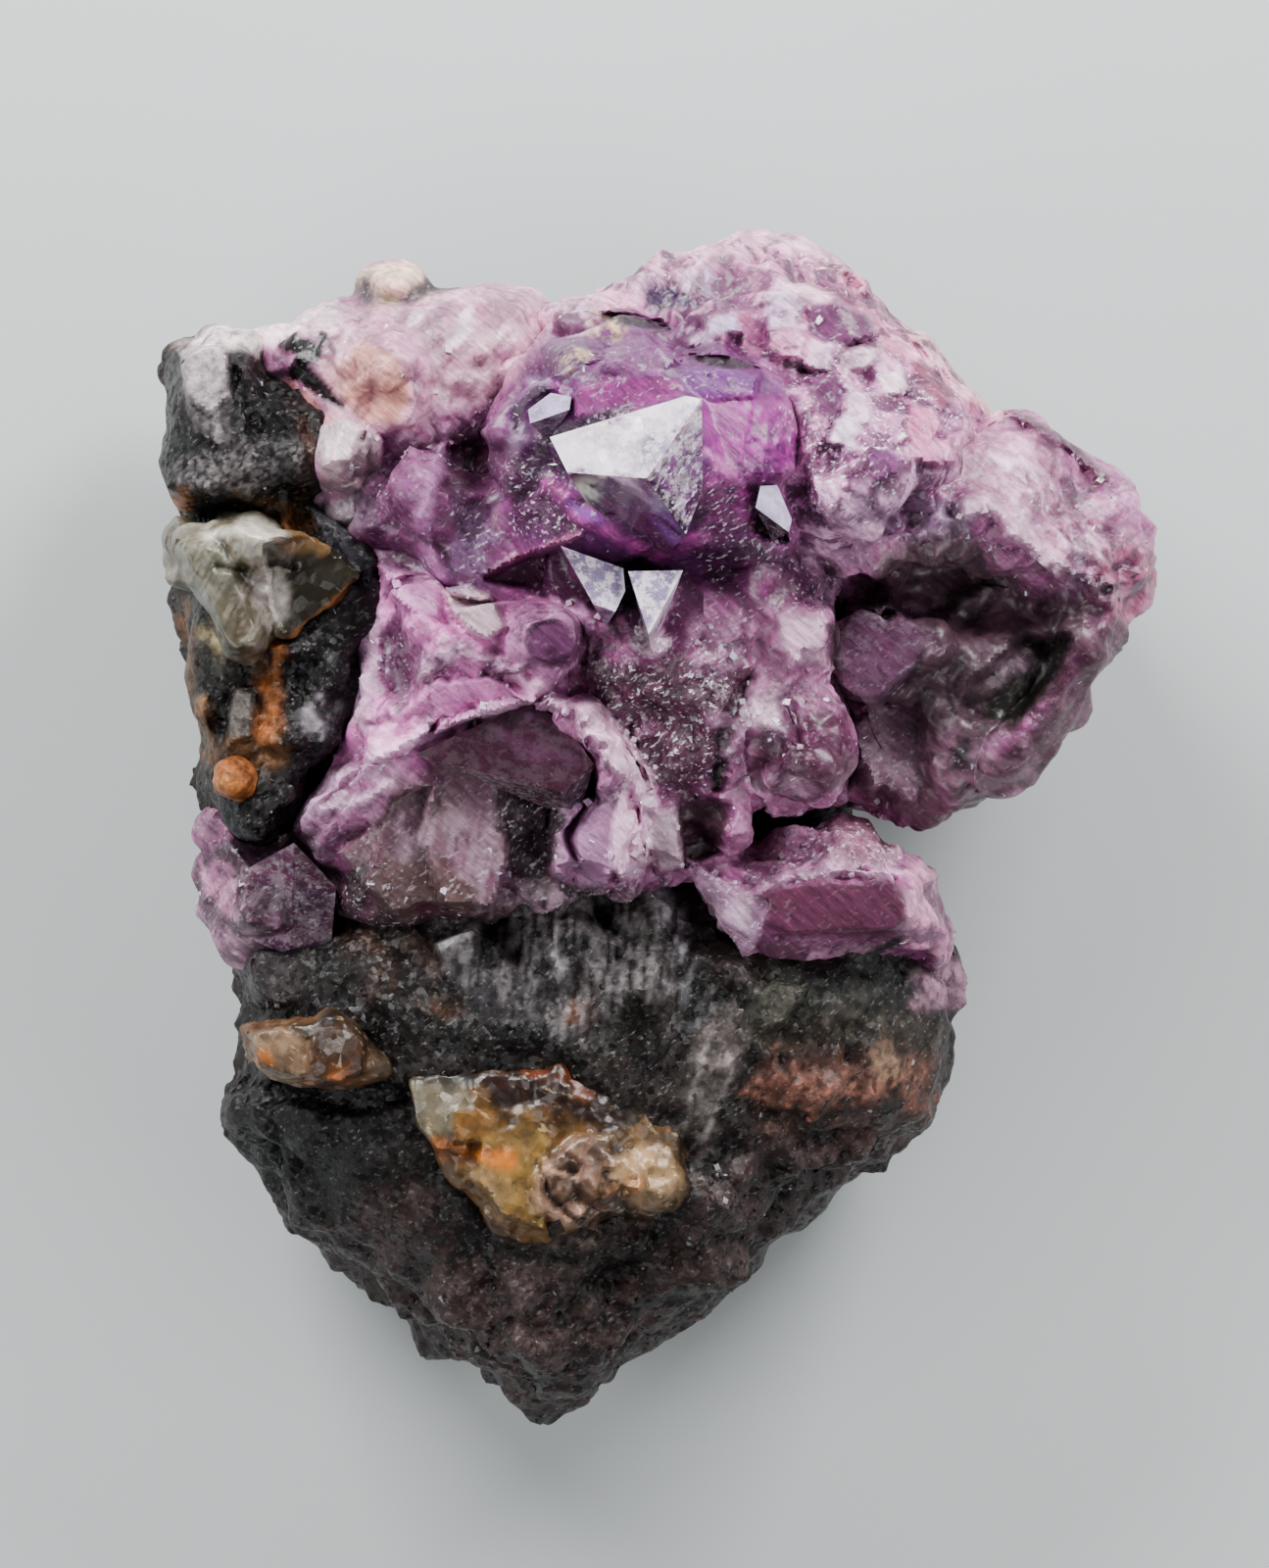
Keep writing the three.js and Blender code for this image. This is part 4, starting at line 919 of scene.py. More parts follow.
    "smoky streak": line([(492, 782), (500, 830), (496, 880)], 36, (150, 132, 140), share=0.5),
    "smoky low": patch([(345, 905), (420, 885), (560, 880), (640, 905), (690, 960), (560, 985),
        (380, 985)], (104, 92, 90), soft=16, ragged=1.6, frost=0.1),
    "smoky foot": line([(345, 915), (420, 940), (520, 930), (590, 925), (660, 925)], 56,
        (34, 30, 30), share=0.9, ragged=1.6, glitter=4, streak=(82, 1.4, 0.22)),
    "smoky scratches": patch([(410, 790), (560, 800), (560, 960), (400, 960)], (176, 166, 174),
        share=0.15, streak=(52, 1.4, 0.09)),
    "silver streaks": patch([(410, 830), (500, 820), (540, 900), (660, 900), (670, 960), (540, 975),
        (400, 950)], (176, 168, 174), share=0.6, streak=(80, 1.6, 0.14), soft=16, ragged=1),
    # Painted shade: black between the plates darkens the gap between the plates
    "black between the plates": patch([(512, 806), (540, 800), (566, 812), (564, 895), (530, 900),
        (508, 850)], (52, 42, 48), rise=-0.2, glitter=5, frost=0.6, ragged=1.2, soft=4, share=0.85),
    "brown foot": dot((441, 920), (56, 46), (88, 74, 66), ragged=1.4),
    "crust foot": line([(340, 944), (420, 960), (520, 954), (590, 950), (700, 952)], 44,
        (40, 32, 36), share=0.85, ragged=0.9, frost=0.1, glitter=3),
    "foot cluster": dot((268, 905), (76, 72), (64, 40, 56), soft=14, scratches=0.3),
    "foot tip": facet([(202, 893), (222, 874), (240, 888), (240, 940), (222, 926)], (168, 124, 152),
        (0.1, 0.3, 0), frost=0.8),
    "foot grey": dot((268, 975), (44, 20), (112, 100, 106), ragged=1.2),
    "left purple": dot((216, 838), (16, 26), (138, 94, 122)),
    "shelf top": patch([(752, 870), (860, 830), (925, 850), (925, 895), (860, 895), (780, 905)],
        (150, 106, 136), glitter=3),
    "shelf knob": dot((886, 860), (34, 26), (156, 112, 132), rise=0.3, glitter=4),
    "shelf crest": line([(775, 912), (800, 896), (840, 886), (915, 891)], 13, (218, 184, 210),
        rise=0.4, soft=5),
    "shelf magenta": facet([(775, 906), (840, 896), (918, 900), (936, 934), (905, 956), (800, 955),
        (766, 936)], (92, 50, 74), (0.1, 0, 0.1), soft=5, frost=0.1, glitter=0),
    "shelf low": facet([(766, 958), (900, 960), (925, 968), (880, 980), (790, 982)], (128, 90, 114),
        (-0.5, 0, 0.4), soft=6),
    # Painted shade: shelf black edge darkens the crease at the shelf's lower edge
    "shelf black edge": line([(896, 970), (912, 962), (926, 955)], 8, (16, 12, 15)),
    "shelf end": patch([(925, 878), (955, 878), (968, 930), (986, 955), (962, 985), (930, 960)],
        (212, 160, 188), soft=6, frost=0.8),
    "shelf end low": dot((952, 1008), (30, 26), (164, 126, 150)),
    "shelf left plate": facet([(702, 878), (748, 902), (784, 922), (762, 996), (722, 956)],
        (186, 160, 184), (0.2, -0.1, 0.1), frost=1.2, glitter=4),
    "plate cells": dot((745, 935), (16, 18), (222, 212, 224), ragged=1.4, frost=0),
    "upper left pink": patch([(330, 330), (470, 290), (540, 290), (560, 330), (520, 400),
        (440, 430), (330, 440)], (232, 190, 208), soft=14),
    "upper left white": line([(262, 340), (300, 326), (330, 322)], 36, (238, 220, 228), frost=1.5,
        ragged=1),
    "white grains": dot((450, 330), (46, 18), (246, 238, 242), turn=-10, ragged=1.6),
    "blue grey grains": dot((446, 326), (26, 12), (96, 96, 112), turn=-20, streak=(-30, 0.5, 0.3)),
    "upper left shade": patch([(300, 345), (420, 310), (540, 300), (560, 345), (500, 400),
        (440, 430), (400, 360), (320, 380)], (158, 108, 138), streak=(50, 1.2, 0.3), share=0.9,
        ragged=1),
    "salmon": patch([(338, 372), (370, 352), (412, 366), (426, 400), (412, 436), (372, 430),
        (345, 404)], (226, 172, 150), soft=10, frost=0.2, glitter=0.3),
    "rose round the salmon": line([(364, 322), (412, 346), (434, 396), (420, 440)], 26,
        (216, 160, 192), rise=0.2, frost=0.5),
    "black specks": dot((310, 352), (17, 9), (10, 8, 9), turn=30, ragged=1.4, soft=2, frost=0),
    "speck left": dot((291, 354), (11, 6), (10, 8, 9), turn=20, ragged=1, soft=2, frost=0),
    "speck right": dot((334, 346), (13, 5), (10, 8, 9), turn=10, ragged=1, soft=2, frost=0),
    "speck far right": dot((361, 338), (7, 5), (10, 8, 9), turn=20, ragged=0.6, soft=2, frost=0),
    "black line": line([(302, 378), (322, 393), (348, 414)], 14, (18, 14, 15), ragged=0.3, soft=2.5,
        frost=0, rise=-0.2, glitter=0),
    "salmon streak": line([(294, 398), (318, 414), (338, 430)], 14, (202, 132, 122)),
    "milky bud": patch([(322, 436), (350, 424), (386, 440), (388, 470), (366, 496), (330, 500),
        (318, 470)], (190, 176, 182), soft=6, frost=0.4, glitter=0.2),
    # Painted light and shade: the milky bud's upper face is painted pale where it faces the lights,
    # its right face and milky shade darker where they turn away
    "milky upper face": facet([(322, 438), (350, 424), (374, 436), (356, 470), (330, 478)],
        (228, 222, 226), (0.2, -0.2, -0.3), ragged=0.2, frost=0.4),
    "milky right face": facet([(376, 438), (391, 448), (388, 480), (366, 498), (338, 498),
        (358, 472)], (150, 134, 142), (0, 0.3, 0.3), ragged=0.2, frost=0.3),
    "milky shade": line([(330, 498), (362, 500), (390, 480)], 14, (150, 132, 140)),
    "milky foot": dot((358, 520), (38, 20), (150, 146, 152), frost=0.8),
    "hollow mauve": patch([(400, 440), (500, 420), (520, 470), (505, 600), (420, 590), (380, 540)],
        (132, 86, 122), soft=16),
    # Painted shade: hollow dark darkens the deepest part of the purple hollow
    "hollow dark": patch([(446, 450), (480, 440), (512, 452), (508, 500), (478, 512), (446, 500)],
        (62, 24, 52), rise=-0.7, soft=14, frost=0.1, glitter=0.3),
    "hollow sparkle": dot((476, 550), (26, 44), (176, 164, 190), ragged=2, frost=1.8, glitter=8),
    "hollow crest": line([(452, 440), (444, 480), (432, 540), (452, 588)], 14, (190, 152, 188),
        rise=0.25),
    "brown hole": dot((490, 374), (9, 6), (64, 38, 32), rise=-0.3, frost=0),
    "cream cap": dot((405, 285), (42, 18), (250, 230, 198), soft=6, frost=0.4),
    "olive under the cap": dot((395, 305), (20, 8), (140, 132, 94), frost=0.3),
    "dark by the cap": dot((373, 302), (10, 13), (66, 60, 62), frost=0.3),
    "dark right of the cap": line([(415, 306), (435, 290), (460, 292)], 15, (62, 56, 58), ragged=1,
        frost=0.3),
}
crystalMarks = {
    # Painted reflection: frosted middle and frosted fan pale the central crystal's upper face,
    # partly frost and partly the lights' reflection in it; white upper edge is a painted highlight
    # along its top edge
    "frosted middle": patch([(561, 446), (700, 404), (716, 407), (700, 425), (672, 445), (655, 470),
        (650, 494), (630, 482), (614, 496), (592, 480), (574, 486), (566, 466)], (224, 214, 232),
        frost=1.2, ragged=0.8, soft=3),
    "frosted fan": patch([(712, 410), (718, 430), (690, 470), (662, 488), (640, 482), (668, 440)],
        (196, 186, 206), ragged=1, soft=4, streak=(-58, 1.4, 0.16)),
    "white upper edge": line([(563, 447), (640, 420), (712, 406)], 4, (250, 246, 250), soft=2),
    "grey green blob": dot((596, 502), (15, 20), (206, 208, 196), turn=-60, ragged=0.3),
    "dark stripes": patch([(560, 476), (606, 486), (640, 480), (700, 545), (681, 568), (598, 522)],
        (44, 6, 38), streak=(-38, 2.6, 0.14), soft=3, frost=0.5),
    "violet in the stripes": patch([(646, 486), (676, 506), (704, 548), (690, 560), (664, 528)],
        (108, 54, 126), streak=(-42, 1.6, 0.2), soft=6),
    "pink into the stripes": patch([(612, 480), (644, 486), (668, 512), (660, 518), (634, 498)],
        (214, 176, 212), streak=(-40, 1.4, 0.2), soft=4, ragged=0.6),
    "pale stripe": line([(588, 520), (638, 553), (670, 566)], 3, (190, 130, 190), ragged=0.2,
        soft=2),
    "dark edge of the fan": line([(664, 492), (690, 522), (702, 545)], 7, (52, 26, 56), ragged=0.5,
        soft=3),
    "cracks of the left face": patch([(574, 560), (634, 580), (636, 604), (612, 618)],
        (120, 108, 140), streak=(34, 1.2, 0.08), soft=3),
    "pale edge of the left face": line([(636, 580), (638, 603), (627, 624)], 5, (226, 220, 236),
        soft=2),
    "cracks of the right face": patch([(641, 583), (697, 582), (662, 647)], (132, 118, 152),
        streak=(62, 1, 0.07), soft=3),
    "pale edge of the right face": line([(697, 583), (664, 644)], 5, (230, 224, 240), soft=2),
    "smoky shade": patch([(480, 735), (540, 722), (600, 765), (575, 790), (540, 775)], (60, 28, 50),
        streak=(-20, 2, 0.3), soft=6),
}
goldenMarks = {
    "silver block": facet([(416, 1100), (470, 1094), (482, 1128), (478, 1178), (440, 1172),
        (418, 1140)], (122, 118, 102), (0.1, 0.1, -0.2), frost=1.4),
    "blue grey top": line([(425, 1098), (480, 1102)], 14, (54, 60, 64)),
    "amber": facet([(464, 1134), (500, 1132), (520, 1148), (500, 1170), (462, 1166)],
        (146, 106, 48), (0.1, -0.2, -0.1), frost=0.2),
    "gold block": facet([(490, 1160), (540, 1142), (562, 1165), (552, 1215), (556, 1256),
        (510, 1240), (488, 1205)], (162, 132, 72), (0.2, 0, -0.1), frost=0.8),
    "gold edge": line([(470, 1190), (500, 1200), (512, 1238)], 12, (176, 150, 110)),
    "bright orange": line([(452, 1172), (480, 1176), (520, 1186)], 20, (206, 124, 42), frost=0.4),
    "rust top": patch([(480, 1092), (560, 1078), (690, 1080), (694, 1140), (620, 1150), (560, 1138),
        (510, 1128)], (46, 24, 15), ragged=1, glitter=0.2, frost=0.1),
    "rust glow": dot((590, 1098), (44, 16), (128, 62, 26), ragged=1.6, share=0.8),
    "rust glow right": dot((665, 1100), (26, 20), (104, 50, 22), ragged=1.6, share=0.8),
    "dark rim": line([(420, 1190), (470, 1240), (500, 1262), (560, 1290), (640, 1278), (694, 1220),
        (702, 1140), (690, 1080), (560, 1072)], 26, (38, 26, 18), share=0.9, ragged=1.2, frost=0.1),
    "nodule": dot((598, 1208), (54, 46), (184, 152, 138), rise=0.4, frost=0.4),
    "nodule cream": dot((655, 1202), (40, 36), (166, 142, 112), ragged=1),
    "nodule orange": dot((626, 1222), (26, 14), (186, 128, 72), ragged=1),
    "nodule wrinkle": line([(548, 1186), (560, 1222), (592, 1248)], 5, (74, 54, 50), rise=-0.15,
        soft=3),
    "wrinkle upper": line([(575, 1172), (596, 1190), (590, 1214)], 5, (112, 76, 76), soft=3),
    "wrinkle right": line([(622, 1176), (618, 1204), (640, 1236)], 4, (96, 66, 52), soft=3),
}
ledgeMarks = {
    "dark end": line([(345, 1040), (385, 1062), (404, 1096)], 30, (40, 32, 26), share=0.9, ragged=1,
        frost=0.1),
    "sheen facet": facet([(247, 1080), (256, 1054), (288, 1046), (318, 1060), (312, 1096),
        (300, 1106), (252, 1100)], (150, 128, 108), (0.1, -0.1, -0.1), frost=1.2),
    "brown facet": facet([(288, 1046), (345, 1042), (374, 1062), (372, 1096), (330, 1110),
        (314, 1096), (320, 1060)], (66, 44, 28), (0.1, 0.2, -0.2)),
    "grey end": dot((398, 1092), (30, 16), (96, 84, 74)),
    "orange spot": dot((272, 1086), (16, 9), (196, 122, 50), ragged=1),
    "orange spot right": dot((345, 1092), (22, 10), (170, 100, 42), ragged=1),
}
quartzMarks = {
    "olive wedge": facet([(270, 556), (322, 545), (384, 580), (350, 634), (300, 662), (276, 620)],
        (46, 38, 24), (-0.1, 0.2, 0.2), frost=0.5),
    "orange lines": line([(297, 652), (327, 627), (360, 598)], 7, (156, 102, 50)),
    "green face": facet([(180, 550), (225, 556), (240, 580), (250, 612), (262, 650), (236, 660),
        (204, 610)], (122, 124, 110), (0.1, -0.15, 0), soft=6, frost=0.5),
    "lower face": patch([(224, 628), (244, 612), (262, 636), (264, 664), (240, 674)], (92, 86, 68),
        soft=5, frost=0.4),
    "white crest": line([(216, 545), (245, 538), (284, 548)], 22, (226, 226, 222), rise=0.2),
    "white frost": dot((276, 604), (22, 30), (226, 222, 226), turn=20, ragged=1.4),
    "dark seam": line([(222, 578), (250, 582), (282, 574), (300, 580)], 6, (52, 46, 40), rise=-0.2),
    "white cracks": patch([(176, 545), (250, 535), (300, 560), (290, 640), (250, 660), (200, 600)],
        (232, 232, 230), streak=(62, 0.8, 0.07), share=0.25),
    "dark cracks": patch([(200, 560), (290, 556), (370, 580), (320, 650), (260, 676), (220, 640)],
        (40, 36, 32), streak=(-40, 0.5, 0.1), share=0.3),
    "gold end": dot((320, 548), (26, 14), (142, 112, 74), ragged=1),
}


# Materials

# A material of one principled shader, its sockets set by name with _ for a blank
def principled(name, **sockets):
    material = bpy.data.materials.new(name)
    material.use_nodes = True
    shader = material.node_tree.nodes["Principled BSDF"]
    for socket, value in sockets.items():
        shader.inputs[socket.replace("_", " ")].default_value = value
    return material, shader


# A node with its input sockets, or else its settings, given by name
def node(material, kind, **values):
    made = material.node_tree.nodes.new(kind)
    for key, value in values.items():
        if key in made.inputs:
            made.inputs[key].default_value = value
        else:
            setattr(made, key, value)
    return made


# One value brought from a range to another by a straight line, held at its ends
def leveled(material, value, low, high, least, most):
    level = node(material, "ShaderNodeMapRange")
    ends = {"From Min": low, "From Max": high, "To Min": least, "To Max": most}
    for name, number in ends.items():
        level.inputs[name].default_value = number
    material.node_tree.links.new(value, level.inputs["Value"])
    return level.outputs["Result"]


# Noise on Object coordinates, drawn out by lengths along a direction turned from x by degrees
def stretchedNoise(material, place, turn, lengths, **values):
    link = material.node_tree.links.new
    mapping = node(
        material, "ShaderNodeMapping", vector_type="TEXTURE", Rotation=(0, 0, math.radians(turn)),
        Scale=lengths)
    link(place.outputs["Object"], mapping.inputs["Vector"])
    noise = node(material, "ShaderNodeTexNoise", **values)
    link(mapping.outputs["Vector"], noise.inputs["Vector"])
    return noise


# Colour changed to another by the share that a socket gives
def mixed(material, colour, share, other):
    mix = node(material, "ShaderNodeMixRGB", Color2=(*linear(other), 1))
    material.node_tree.links.new(share, mix.inputs["Fac"])
    material.node_tree.links.new(colour, mix.inputs["Color1"])
    return mix.outputs["Color"]


# Fine marks in another colour, such as scratches or specks of painted sparkle: a drawn-out noise,
# none where it is under the range and full over it, by a strength
def specked(material, place, colour, fine, strength, speck):
    link = material.node_tree.links.new
    noise = stretchedNoise(material, place, fine["turn"], fine["lengths"], **fine["noise"])
    share = node(material, "ShaderNodeMath", operation="MULTIPLY", use_clamp=True)
    link(leveled(material, noise.outputs["Fac"], *fine["range"], 0, 1), share.inputs[0])
    if isinstance(strength, float):
        share.inputs[1].default_value = strength
    else:
        link(strength, share.inputs[1])
    return mixed(material, colour, share.outputs["Value"], speck)


# Fine grain: colour from the piece's paint, made lighter and darker by a drawn-out noise
def grainedPaint(material, scale, darkest, lightest, turn=0, lengths=(1, 1, 1)):
    link = material.node_tree.links.new
    paint = node(material, "ShaderNodeAttribute", attribute_name="paint")
    place = node(material, "ShaderNodeTexCoord")
    grain = stretchedNoise(material, place, turn, lengths, Scale=scale, Detail=6, Roughness=0.65)
    level = leveled(material, grain.outputs["Fac"], 0.3, 0.7, darkest, lightest)
    scaled = node(material, "ShaderNodeVectorMath", operation="SCALE")
    link(paint.outputs["Color"], scaled.inputs[0])
    link(level, scaled.inputs["Scale"])
    return place, grain, scaled.outputs["Vector"]


# Flat glints: the normal, already shaken by the grain's relief, tilts at random in each cell of a
# cellular pattern on Object coordinates
def glinting(material, shader, place, grain, strength, scale, tilt, relief):
    link = material.node_tree.links.new
    cells = node(material, "ShaderNodeTexVoronoi", Scale=scale)
    link(place.outputs["Object"], cells.inputs["Vector"])
    lean = node(material, "ShaderNodeVectorMath", operation="MULTIPLY_ADD")
    link(cells.outputs["Color"], lean.inputs[0])
    lean.inputs[1].default_value = (tilt, tilt, tilt)
    lean.inputs[2].default_value = (-tilt / 2, -tilt / 2, -tilt / 2)
    leaning = lean.outputs["Vector"]
    if strength is not None:
        weaker = node(material, "ShaderNodeVectorMath", operation="SCALE")
        link(leaning, weaker.inputs[0])
        link(strength, weaker.inputs["Scale"])
        leaning = weaker.outputs["Vector"]
    bump = node(material, "ShaderNodeBump", Strength=0.8, Distance=relief * mm)
    link(grain.outputs["Fac"], bump.inputs["Height"])
    total = node(material, "ShaderNodeVectorMath", operation="ADD")
    link(bump.outputs["Normal"], total.inputs[0])
    link(leaning, total.inputs[1])
    unit = node(material, "ShaderNodeVectorMath", operation="NORMALIZE")
    link(total.outputs["Vector"], unit.inputs[0])
    link(unit.outputs["Vector"], shader.inputs["Normal"])


# Frost and the fine marks that go with it, where the blue part of a piece's finish asks for
# scratches, the green for specks of painted sparkle and the red for frost
frostAndSparkleColour = (244, 232, 242)
scratches = {
    "turn": -50, "lengths": (5, 1, 4), "range": (0.62, 0.8),
    "noise": {"Scale": 12000, "Detail": 4, "Roughness": 0.7, "Distortion": 1.5},
}
# Specks: pale dots of painted sparkle, standing in for the glints of tiny facets
specks = {
    "turn": 30, "lengths": (2, 1, 1), "range": (0.6, 0.68),
    "noise": {"Scale": 9000, "Detail": 2, "Roughness": 0.5},
}


# Scratches and specks, then frost where noise on Object coordinates rises over its middle: the
# paint turns towards the frost's colour and the face from glassy to matt
def frosted(material, shader, place, colour, scale, glassy, matt):
    link = material.node_tree.links.new
    finish = node(material, "ShaderNodeAttribute", attribute_name="finish")
    parts = node(material, "ShaderNodeSeparateColor")
    link(finish.outputs["Color"], parts.inputs["Color"])
    colour = specked(material, place, colour, scratches, parts.outputs["Blue"], frostAndSparkleColour)
    colour = specked(material, place, colour, specks, parts.outputs["Green"], frostAndSparkleColour)
    patches = node(material, "ShaderNodeTexNoise", Scale=scale, Detail=8, Roughness=0.75)
    link(place.outputs["Object"], patches.inputs["Vector"])
    share = node(material, "ShaderNodeMath", operation="MULTIPLY")
    link(leveled(material, patches.outputs["Fac"], 0.47, 0.55, 0, 1), share.inputs[0])
    link(parts.outputs["Red"], share.inputs[1])
    colour = mixed(material, colour, share.outputs["Value"], frostAndSparkleColour)
    link(colour, shader.inputs["Base Color"])
    link(leveled(material, share.outputs["Value"], 0, 1, glassy, matt), shader.inputs["Roughness"])
    return parts.outputs["Green"]


# The minerals. Scales are in cells to a metre: grain is (scale, darkest, lightest, turn, lengths),
# frost (scale, roughness where glassy and where matt) and glints (scale, tilt, relief in mm). The
# rock's and the golden lump's specks are pale dots of painted sparkle in the paint.
mineralLooks = {
    "pinkCalcite": {
        "shader": {
            "IOR": 1.58, "Specular_IOR_Level": 0.35, "Subsurface_Weight": 0.15,
            "Subsurface_Scale": 0.4 * mm, "Subsurface_Radius": (1, 0.45, 0.8),
        },
        "grain": (8000, 0.45, 1.45, -40, (5, 1, 2)), "frost": (2600, 0.34, 0.6),
        "glints": (12000, 0.7, 0.02),
    },
    "wallRock": {
        "shader": {"Roughness": 0.42, "IOR": 1.4, "Specular_IOR_Level": 0.35},
        "grain": (3000, 0.3, 1.7), "glints": (7000, 0.7, 0.06),
        "specks": {
            "turn": 30, "lengths": (2, 1, 1), "range": (0.6, 0.72), "strength": 0.4,
            "noise": {"Scale": 10000, "Detail": 3, "Roughness": 0.6}, "colour": (150, 142, 140),
        },
    },
    "goldenCarbonate": {
        "shader": {"Roughness": 0.36, "IOR": 1.5, "Metallic": 0.1},
        "grain": (1900, 0.35, 1.7), "glints": (3600, 0.35, 0.03),
        "specks": {
            "turn": -30, "lengths": (2.5, 1, 1), "range": (0.62, 0.72), "strength": 0.35,
            "noise": {"Scale": 5000, "Detail": 3, "Roughness": 0.6}, "colour": (230, 200, 150),
        },
    },
    "milkyQuartz": {
        "shader": {
            "Roughness": 0.28, "IOR": 1.5, "Subsurface_Weight": 0.15,
            "Subsurface_Scale": 0.5 * mm,
        },
        "grain": (2600, 0.5, 1.4), "glints": (3000, 0.2, 0.02),
    },
    "clearCalcite": {
        "shader": {
            "IOR": 1.58, "Subsurface_Weight": 0.25, "Subsurface_Scale": 0.6 * mm,
            "Transmission_Weight": 0.08,
        },
        "grain": (1700, 0.6, 1.4, -38, (4, 1, 2)), "frost": (3000, 0.08, 0.5),
        "glints": (3800, 0.5, 0.03),
    },
}


# A mineral's material: its grained paint, then frost or specks of its own, the specks painted
# sparkle, then flat glints
def mineral(name, look):
    material, shader = principled(name, **look["shader"])
    place, grain, colour = grainedPaint(material, *look["grain"])
    glitter = None
    if "frost" in look:
        glitter = frosted(material, shader, place, colour, *look["frost"])
    else:
        if "specks" in look:
            fine = look["specks"]
            colour = specked(material, place, colour, fine, fine["strength"], fine["colour"])
        material.node_tree.links.new(colour, shader.inputs["Base Color"])
    glinting(material, shader, place, grain, glitter, *look["glints"])
    return material


materials = {name: mineral(name, look) for name, look in mineralLooks.items()}
print("materials ready")


# Pieces

# A piece in the frame, painted point by point or, when domain is CORNER, face corner by face corner
def addPiece(name, points, faces, layers, material, slot, *nodes, domain="POINT", sharpAngle=None):
    mesh = bareMesh(name, placed(points).tolist(), faces)
    for layerName, values in layers.items():
        layer = mesh.color_attributes.new(layerName, "FLOAT_COLOR", domain)
        layer.data.foreach_set("color", np.column_stack([values, np.ones(len(values))]).ravel())
    mesh.materials.append(material)
    if sharpAngle is None:
        mesh.shade_flat()
    else:
        mesh.shade_smooth()
        mesh.set_sharp_from_angle(angle=math.radians(sharpAngle))
    piece = bpy.data.objects.new(name, mesh)
    bpy.context.collection.objects.link(piece)
    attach(piece, "root")
    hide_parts(*nodes)


# How every skin is grown. Cells are in mm.
growth = {
    "shakeCell": 2.6, "druseCell": 3.2, "leastDruse": 0.45, "moreDruse": 1.1,
    "shadedCell": 0.6,  # rhombs larger than this are shaded face by face
    "patchCell": 0.9, "patchiness": 1.8,  # of hollows and frost
    "calming": 0.8,  # how much facets quieten the tone
    "sharpAngle": 38,  # degrees at which an edge between two faces stays sharp
}


# A mineral's skin: its lumps fused, shaken by smooth noise, hollowed by scoops, then roughened
# along its normals by rhombs of several sizes, more here and less there, and marked. Hollows take a
# deep colour as painted shade, and crests a pale frost that is partly frost and partly painted
# highlight, patchy by noise. Each face of a large rhomb is painted lighter or darker by its own
# number, as painted shade on the facets.
def grownPiece(name, lumps, voxel, look, base, marks, material, slot, node):
    points, normals, quads = fused([lumpShape(lump) for lump in lumps], voxel, look["rounds"])
    shakes = [roughNoise(points, growth["shakeCell"], salt) - 0.5 for salt in (71, 81, 91)]
    smooth, start = points, points + np.stack(shakes, axis=1) * look["warp"]
    scoopCell, scoopDepth = look["scoops"]
    scoop = scoopRelief(start, scoopCell)
    scoop -= scoop.mean()
    tone = scoop / scoop.std() * look["crests"]
    points = points + normals * (scoop * scoopDepth)[:, None]
    druse = ramp(roughNoise(start, growth["druseCell"], 61), 0.38, 0.62)
    druse = growth["leastDruse"] + growth["moreDruse"] * druse
    edge = look["edge"] + (1 - look["edge"]) * ramp(normals[:, 2], 0, 0.5)
    bright = np.ones(len(points))
    for cell, depth in look["relief"]:
        rise, shade = rhombRelief(smooth, cell)
        rise -= rise.mean()
        tone += rise / rise.std() * min(0.4 * cell, 0.55)
        # Painted shade on the facets: each face of a large rhomb is made lighter or darker by its
        # own number
        if cell > growth["shadedCell"]:
            tone += look["facets"] * (shade - 0.5)
            bright *= 1 + look["shades"] * (shade - 0.5)
        points += normals * (rise * depth * druse * edge)[:, None]
    points, colours, frosting, glitter, scratched, calm = marked(points, normals, base, marks)
    tone *= 1 - growth["calming"] * calm
    bright = 1 + (bright - 1) * (1 - calm)
    patches = roughNoise(points, growth["patchCell"], 101) - 0.5
    # Painted shade and highlight: low tone darkens the paint towards the hollow colour, high tone
    # pales it towards the frost colour
    for key, sense in (("hollow", -1), ("frost", 1)):
        colour, share, low, high = look[key]
        cover = ramp(sense * tone + growth["patchiness"] * patches, low, high) * share
        if key == "frost":
            cover = np.minimum(cover * frosting, 1)
        covered = colours + (linear(colour) - colours) * cover[:, None]
        colours = np.minimum(colours, covered) if key == "hollow" else covered
    colours *= look["depth"] * bright[:, None]
    frost = np.clip(look["finish"] * frosting * druse, 0, 1)
    finish = np.column_stack([frost, np.clip(0.05 + 0.13 * glitter, 0, 1.2), scratched])
    addPiece(
        name, points, quads.tolist(), {"paint": colours, "finish": finish}, materials[material],
        slot, node, sharpAngle=growth["sharpAngle"])
    print(name, len(points), "points")
    return points, normals, colours, glitter * druse


